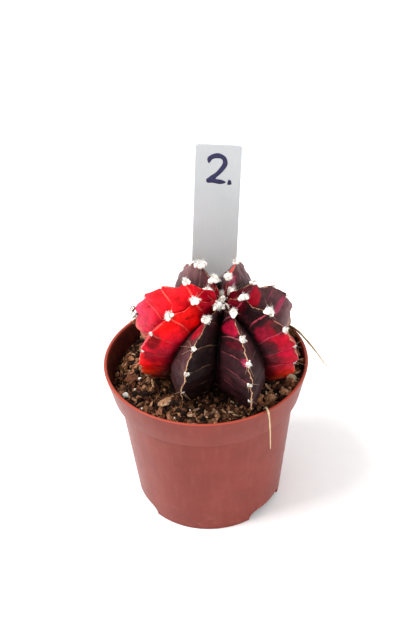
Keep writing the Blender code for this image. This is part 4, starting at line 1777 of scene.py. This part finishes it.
@dataclass
class Scatter:
    """The small loose bits all over the soil, in a few kinds, and thin fibres."""

    soil: Soil
    fibres: int = 760
    fibre_points: int = 8
    fibre_sides: int = 4
    fibre_limit: float = 24.6 * MM

    def build(self, finishes: dict[str, bpy.types.Material]) -> None:
        """Scatters each kind, and joins the kinds that share a piece.

        Args:
            finishes: The finishes by slot.
        """
        dice = np.random.default_rng(17)
        pieces: dict[str, list[Shape]] = {}
        for kind in KINDS:
            places = self.soil.places(kind.count, dice, kind.margin)
            sizes = dice.uniform(*kind.lengths, (kind.count, 1))
            fixed = len(kind.shares) == 3
            shares = np.array([kind.shares]) if fixed else dice.uniform(*kind.shares, (kind.count, 3))
            centres = places + UP * kind.lift * MM
            shape = lumps(centres, sizes * shares * MM, kind.detail, kind.rough, kind.seed)
            pieces.setdefault(kind.piece, []).append(shape)
        slots = {kind.piece: kind.slot for kind in KINDS}
        for name, shapes in pieces.items():
            add_piece(name, joined(shapes), [finishes[slots[name]]], smooth=False)
        self.strew_fibres(dice, finishes["dry_root"])

    def strew_fibres(self, dice: np.random.Generator, fibre: bpy.types.Material) -> None:
        """Lays thin curved fibres on the soil: a random way, a bend and a little lift.

        Args:
            dice: The seeded source of chance.
            fibre: Their finish.
        """
        count = self.fibres
        start = self.soil.places(count, dice, 0.12)
        turn = dice.uniform(0, math.tau, count)
        length = dice.uniform(1.2, 4.2, (count, 1, 1)) * MM
        steps = np.linspace(-0.5, 0.5, self.fibre_points)[None, :, None]
        way = np.stack([np.cos(turn), np.sin(turn), 0 * turn], 1)[:, None]
        side = np.stack([-np.sin(turn), np.cos(turn), 0 * turn], 1)[:, None]
        bend = dice.normal(size=(count, 1, 1)) * 0.7
        flat = start[:, None] + length * (way * steps + side * bend * (steps**2 - 0.1))
        inside = np.linalg.norm(flat[..., :2], axis=-1, keepdims=True)
        flat[..., :2] *= np.minimum(1, self.fibre_limit / inside)
        lift = dice.uniform(0.1, 0.5, (count, 1)) * MM
        tip = dice.uniform(-0.8, 1.2, (count, 1)) * MM * np.abs(steps[..., 0])
        flat[..., 2] = self.soil.heights(flat) + lift + tip
        thick = dice.uniform(0.05, 0.14, (count, 1)) * MM * (1.1 - np.abs(steps[..., 0]))
        tones = np.repeat(dice.random(count), self.fibre_points * self.fibre_sides)
        shape = strands(flat, thick, self.fibre_sides).with_tone(tones)
        add_piece("soil_fibres", shape, [fibre])


def room_of(node: bpy.types.Object) -> tuple[Array, Array, Array]:
    """The room that a node of the frame takes, along the axes that its points spread along.

    Args:
        node: The node.

    Returns:
        Its middle, its axes as rows and its half size along each.
    """
    points = np.array([vertex.co for vertex in node.data.vertices])
    middle = (points.min(0) + points.max(0)) / 2
    axes = np.linalg.svd(points - points.mean(0), full_matrices=False)[2]
    return middle, axes, np.abs((points - middle) @ axes.T).max(0)


@dataclass(frozen=True)
class Bit:
    """A larger loose bit that stands for one node: how rough it is and its slot."""

    node: str
    slot: str
    rough: float


BITS = [
    Bit("bark_flake_left", "bark", 0.30), Bit("bark_flake_back", "bark", 0.30),
    Bit("curled_chip", "wood_chip", 0.35), Bit("chip_front", "wood_chip", 0.35),
    Bit("round_lump", "wood_chip", 0.30), Bit("double_lump", "wood_chip", 0.35),
    Bit("pebble_right", "pebble_stone", 0.16), Bit("perlite_front", "perlite", 0.3),
    Bit("perlite_left", "perlite", 0.3), Bit("perlite_back", "perlite", 0.3),
]


@dataclass
class Litters:
    """The larger bits on the soil, the root debris and the two dry stems."""

    detail: int = 5
    root_points: int = 12
    root_sides: int = 5
    straw_points: int = 60
    straw_sides: int = 10

    def build_bits(self, finishes: dict[str, bpy.types.Material]) -> None:
        """Gives each node a rough stone, flake or chip of the node's own size and place.

        Args:
            finishes: The finishes by slot.
        """
        for number, bit in enumerate(BITS):
            middle, axes, half = room_of(FRAME_NODES[bit.node])
            sphere, faces = ball(self.detail)
            push = 1 + bit.rough * layered_noise(sphere + number * 7, 0.9, 91 + number, 5)
            local = sphere * push[:, None] * half * 0.97
            shape = Shape(middle + local @ axes, faces)
            if np.linalg.det(axes) < 0:
                shape.triangles = faces[:, ::-1]
            tone = 0.5 + 0.5 * layered_noise(sphere * 2, 1.0, 95 + number)
            add_piece(f"{bit.node}_shape", shape.with_tone(tone), [finishes[bit.slot]], (bit.node,))

    def build_roots(self, root: bpy.types.Material) -> None:
        """Bundles of crossing fibres in the room of each root node.

        Args:
            root: Their finish.
        """
        for name, count, seed in (("root_debris", 150, 3), ("root_strand_left", 26, 4)):
            middle, axes, half = room_of(FRAME_NODES[name])
            dice = np.random.default_rng(seed)
            steps = np.linspace(-1, 1, self.root_points)[None, :, None]
            offset = dice.uniform(-0.75, 0.75, (count, 1, 3)) * np.array([0.5, 1, 1])
            slope = dice.normal(size=(count, 1, 3)) * np.array([0.1, 0.5, 0.5])
            slope[..., 0] += dice.uniform(0.25, 0.9, (count, 1))
            curl = dice.normal(size=(count, 1, 3)) * 0.35
            local = np.clip(offset + slope * steps + curl * steps**2, -1, 1) * half
            thick = dice.uniform(0.05, 0.2, (count, 1)) * MM * (1.15 - np.abs(steps[..., 0]))
            paths = middle + local @ axes
            tones = np.repeat(dice.random(count), self.root_points * self.root_sides)
            shape = strands(paths, thick, self.root_sides).with_tone(tones)
            add_piece(f"{name}_shape", shape, [root], (name,))

    def build_straws(self, straw: bpy.types.Material) -> None:
        """The two dry stems: smooth tapered rods through points given from the rim's centre.

        Args:
            straw: Their finish.
        """
        front = [
            (14.4, -18.6, -3.0), (14.8, -21.0, -0.4), (15.05, -22.5, 0.85),
            (15.6, -23.7, -0.6), (15.9, -23.7, -6.0), (16.0, -23.4, -12.2),
        ]
        right = [
            (22.6, 13.2, 0.6), (25.2, 9.6, 1.1), (27.0, 6.6, 0.75),
            (29.6, 1.9, -0.2), (32.3, -2.6, -2.2),
        ]
        for name, knots, seed in (("straw_front", front, 6), ("straw_right", right, 7)):
            path = smooth_path(np.array(knots) * MM + UP * Pot.height, self.straw_points)
            steps = np.linspace(0, 1, self.straw_points)
            thick = (0.34 - 0.22 * steps**2) * (1 + 0.25 * value_noise(path, 1.2 * MM, seed)) * MM
            tone = np.repeat(steps, self.straw_sides) if name == "straw_right" else 0.75
            shape = strands(path[None], thick[None], self.straw_sides).with_tone(tone)
            add_piece(f"{name}_shape", shape, [straw], (name,))


def smooth_path(knots: Array, count: int) -> Array:
    """A smooth line through points: cubic pieces whose slope at each point joins its neighbours.

    Args:
        knots: The points, shaped (points, axes).
        count: How many points to return.

    Returns:
        Points along the line.
    """
    slope = np.gradient(knots, axis=0)
    place = np.linspace(0, len(knots) - 1, count)
    low = np.minimum(place.astype(int), len(knots) - 2)
    u = (place - low)[:, None]
    a, b = 2 * u**3 - 3 * u**2 + 1, u**3 - 2 * u**2 + u
    c, d = -2 * u**3 + 3 * u**2, u**3 - u**2
    return a * knots[low] + b * slope[low] + c * knots[low + 1] + d * slope[low + 1]


# ---------------------------------------------------------------- label


@dataclass
class Label:
    """A thin plant label with rounded corners and a point, and a hand-drawn numeral."""

    width: float = 12.3 * MM
    length: float = 91.0 * MM
    point: float = 14.0 * MM
    thickness: float = 0.6 * MM
    tip_half: float = 1.2 * MM
    corner: float = 0.8 * MM
    rows: int = 150
    columns: int = 64
    top: tuple[float, float, float] = (5.3 * MM, 26.7 * MM, 94.4 * MM)
    lean_back: float = math.radians(8.2)
    lean_right: float = math.radians(3.7)
    yaw: float = math.radians(-3.0)

    def placed(self, points: Array) -> Array:
        """Points of the label's own frame, turned and moved to their place.

        Args:
            points: Points shaped (..., 3).

        Returns:
            The points in the frame of the model.
        """
        a, b, c = self.lean_right, -self.lean_back, self.yaw
        right = np.array([[math.cos(a), 0, math.sin(a)], [0, 1, 0], [-math.sin(a), 0, math.cos(a)]])
        back = np.array([[1, 0, 0], [0, math.cos(b), -math.sin(b)], [0, math.sin(b), math.cos(b)]])
        turn = np.array([[math.cos(c), -math.sin(c), 0], [math.sin(c), math.cos(c), 0], [0, 0, 1]])
        return points @ (right @ back @ turn).T + np.array(self.top)

    def half_width(self, down: Array) -> Array:
        """Half the width at a distance below the top: a round corner, straight sides, a point.

        Args:
            down: Distances below the top.

        Returns:
            Half widths.
        """
        corner = np.clip((self.corner - down) / self.corner, 0, 1)
        rounded = self.width / 2 - self.corner * (1 - np.sqrt(1 - corner**2))
        narrow = np.clip((down - (self.length - self.point)) / self.point, 0, 1)
        return rounded - (self.width / 2 - self.tip_half) * narrow

    def build(self, plastic: bpy.types.Material, ink: bpy.types.Material) -> None:
        """Makes the plate and its numeral.

        Args:
            plastic: The plate's finish.
            ink: The numeral's finish.
        """
        shares = np.linspace(0, 1, 9)
        ends = self.corner * (1 - np.cos(shares * math.pi / 2))
        down = np.concatenate([ends, np.linspace(1.2 * self.corner, self.length, self.rows)])[::-1]
        turn = np.arange(self.columns) * math.tau / self.columns
        across = np.sign(np.cos(turn)) * np.abs(np.cos(turn)) ** 0.5
        through = np.sign(np.sin(turn)) * np.abs(np.sin(turn)) ** 0.12
        half = self.half_width(down)[:, None]
        parts = np.broadcast_arrays(half * across, -through * self.thickness / 2, -down[:, None])
        grid = np.stack(parts, axis=-1)
        low, high = self.placed(grid[0].mean(0)), self.placed(grid[-1].mean(0))
        shape = skinned(self.placed(grid)[:, ::-1], low, high)
        add_piece("label", shape, [plastic], ("plant_label",))
        self.draw_numeral(ink)

    def draw_numeral(self, ink: bpy.types.Material) -> None:
        """A plain 2 with a dot: a low rounded band carried along a smooth stroke on the front.

        Args:
            ink: Its finish.
        """
        knots = np.array([
            (-2.5, -5.1), (-2.1, -3.6), (-0.3, -2.9), (1.4, -3.5), (1.8, -5.2), (0.5, -7.3),
            (-1.2, -9.0), (-2.5, -10.0), (-1.2, -10.0), (0.4, -10.2), (2.2, -10.3),
        ])
        stroke = smooth_path(knots, 120) * MM
        dot = np.array([(2.7, -10.2), (3.2, -10.3), (3.7, -10.2)])
        strokes = [(stroke, 0.6 * MM), (smooth_path(dot, 16) * MM, 0.68 * MM)]
        shape = joined([self.band(path, half) for path, half in strokes])
        add_piece("label_numeral", shape, [ink])

    def band(self, path: Array, half: float) -> Shape:
        """A flat closed band along a path on the label's front.

        Args:
            path: Points across and up the label, shaped (points, 2).
            half: Half its width.

        Returns:
            The band.
        """
        along = np.gradient(path, axis=0)
        along /= np.linalg.norm(along, axis=1, keepdims=True)
        side = np.stack([-along[:, 1], along[:, 0]], 1)
        places = np.linspace(0, 1, len(path))
        ends = np.clip(np.minimum(places, 1 - places) * 14, 0, 1) ** 0.5
        wide = half * (1 + 0.22 * value_noise(np.pad(path, ((0, 0), (0, 1))), 1.3 * MM, 3)) * ends + 1e-6
        turn = np.arange(8) * math.tau / 8
        flat = path[:, None] + side[:, None] * (wide[:, None] * np.cos(turn))[..., None]
        lift = -self.thickness / 2 - 0.02 * MM - 0.03 * MM * np.sin(turn)
        rows = np.stack([flat[..., 0], np.broadcast_to(lift, flat.shape[:2]), flat[..., 1]], axis=-1)
        placed = self.placed(rows)
        return skinned(placed, placed[0].mean(0), placed[-1].mean(0))


# ---------------------------------------------------------------- studio


@dataclass
class Studio:
    """A plain pale floor, soft light from above and the left, and the camera."""

    target: tuple[float, float, float] = (0.99 * MM, 0.0, 59.735 * MM)
    elevation: float = math.radians(35.89)
    distance: float = 330 * MM
    roll: float = math.radians(1.88)
    lens: float = 72.85
    white: float = 0.80
    look: str = "Medium High Contrast"

    def build(self) -> None:
        """Makes the floor, the lights and the camera."""
        self.floor()
        self.lights()
        self.camera()

    def floor(self) -> None:
        """A wide pale floor with the faintest grain."""
        board = Board("studio_floor", Roughness=0.9, Specular_IOR_Level=0.1)
        grain = board.noise(board.place(), 4 * MM, 2.0)
        board.dress(board.mix(grain, (0.90, 0.90, 0.90), (0.93, 0.93, 0.93)))
        mesh = bpy.data.meshes.new("floor")
        wide = 3.0
        corners = [(-wide, -wide, 0), (wide, -wide, 0), (wide, wide, 0), (-wide, wide, 0)]
        mesh.from_pydata(corners, [], [(0, 1, 2, 3)])
        mesh.materials.append(board.material)
        floor = bpy.data.objects.new("floor", mesh)
        bpy.context.scene.collection.objects.link(floor)

    def light(self, name: str, place: Colour, size: float, power: float, colour: Colour = (1, 1, 1)) -> None:
        """A square soft light that faces the plant.

        Args:
            name: Its name.
            place: Where it is.
            size: Its side.
            power: Its power in watts.
            colour: Its colour.
        """
        lamp = bpy.data.lights.new(name, "AREA")
        lamp.size, lamp.energy, lamp.color = size, power, colour
        thing = bpy.data.objects.new(name, lamp)
        bpy.context.scene.collection.objects.link(thing)
        thing.location = place
        away = thing.location - bpy.data.objects["floor"].location - Vector((0, 0, 0.05))
        thing.rotation_euler = away.to_track_quat("Z", "Y").to_euler()

    def lights(self) -> None:
        """A large key at the upper left, a fill at the right and even light all round."""
        self.light("key", (-0.55, -0.15, 0.85), 0.5, 9.0)
        self.light("fill", (0.75, -0.45, 0.45), 0.6, 3.0)
        world = bpy.data.worlds.new("studio")
        world.use_nodes = True
        shade = world.node_tree.nodes["Background"]
        shade.inputs["Color"].default_value = (1, 1, 1, 1)
        shade.inputs["Strength"].default_value = self.white
        bpy.context.scene.world = world
        bpy.context.scene.view_settings.view_transform = "Standard"
        bpy.context.scene.view_settings.look = self.look

    def camera(self) -> None:
        """A camera that looks down at the target, rolled a little."""
        lens = bpy.data.cameras.new("camera")
        lens.lens = self.lens
        lens.sensor_fit = "VERTICAL"
        lens.sensor_height = 36.0
        thing = bpy.data.objects.new("camera", lens)
        bpy.context.scene.collection.objects.link(thing)
        e, c, s = self.elevation, math.cos(self.roll), math.sin(self.roll)
        right, up = np.array([1.0, 0, 0]), np.array([0, math.sin(e), math.cos(e)])
        back = np.array([0, -math.cos(e), math.sin(e)])
        matrix = np.eye(4)
        matrix[:3, 0], matrix[:3, 1], matrix[:3, 2] = c * right - s * up, s * right + c * up, back
        matrix[:3, 3] = np.array(self.target) + back * self.distance
        thing.matrix_world = Matrix(matrix.tolist())
        bpy.context.scene.camera = thing


def litter_finishes() -> dict[str, bpy.types.Material]:
    """The finishes of loose plant bits and stones, by slot.

    Returns:
        The materials by slot.
    """
    bark = (0.0, srgb(70, 38, 26)), (0.6, srgb(136, 86, 60)), (1.0, srgb(202, 146, 110))
    chip = (0.0, srgb(140, 92, 62)), (0.5, srgb(196, 148, 112)), (1.0, srgb(232, 200, 172))
    root = (0.0, srgb(84, 44, 28)), (0.5, srgb(146, 92, 58)), (1.0, srgb(206, 164, 118))
    crumb = (
        (0.0, srgb(14, 6, 4)), (0.5, srgb(40, 22, 16)),
        (0.78, srgb(104, 66, 46)), (1.0, srgb(196, 146, 110)),
    )
    straw = (0.0, srgb(150, 112, 70)), (1.0, srgb(226, 204, 166))
    stone = (0.0, srgb(150, 138, 116)), (1.0, srgb(206, 194, 170))
    white = (0.0, srgb(214, 210, 200)), (1.0, srgb(246, 244, 238))
    stones = {"shade": srgb(150, 146, 136), "shading": 0.4}
    kinds = {
        "bark": Litter("bark_bits", bark, 0.5 * MM),
        "wood_chip": Litter("chip_bits", chip, 0.45 * MM),
        "dry_root": Litter("root_bits", root, 0.3 * MM),
        "potting_soil": Litter("crumb_bits", crumb, 0.4 * MM),
        "dry_straw": Litter("straw_bits", straw, 0.4 * MM, (1.0, 1.0, 0.3), shading=0.4, roughness=0.6),
        "pebble_stone": Litter("stone_bits", stone, 0.6 * MM, shading=0.35, roughness=0.7),
        "perlite": Litter("perlite_bits", white, 0.5 * MM, **stones),
    }
    return {slot: kind.material() for slot, kind in kinds.items()}


FRAME_NODES: dict[str, bpy.types.Object] = {}


def clear_scene() -> None:
    """Empties the startup scene."""
    for thing in list(bpy.data.objects):
        bpy.data.objects.remove(thing)


def main() -> None:
    logging.basicConfig(level=logging.INFO, format="%(name)s: %(message)s")
    clear_scene()
    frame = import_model()
    FRAME_NODES.update(frame["nodes"])
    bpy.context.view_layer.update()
    finishes = litter_finishes()
    plant = Plant()
    plant.build(Flesh().material())
    tufts = Tufts(plant)
    tufts.build([Wool().material(), Spine().material()])
    tufts.build_husk(finishes["dry_root"])
    pot = Pot()
    pot.build(PotPlastic().material())
    soil = Soil(pot, plant)
    soil.build(PottingSoil().material())
    Scatter(soil).build(finishes)
    litters = Litters()
    litters.build_bits(finishes)
    litters.build_roots(finishes["dry_root"])
    litters.build_straws(finishes["dry_straw"])
    Label().build(LabelPlastic().material(), MarkerInk().material())
    Studio().build()


if __name__ == "__main__":
    main()
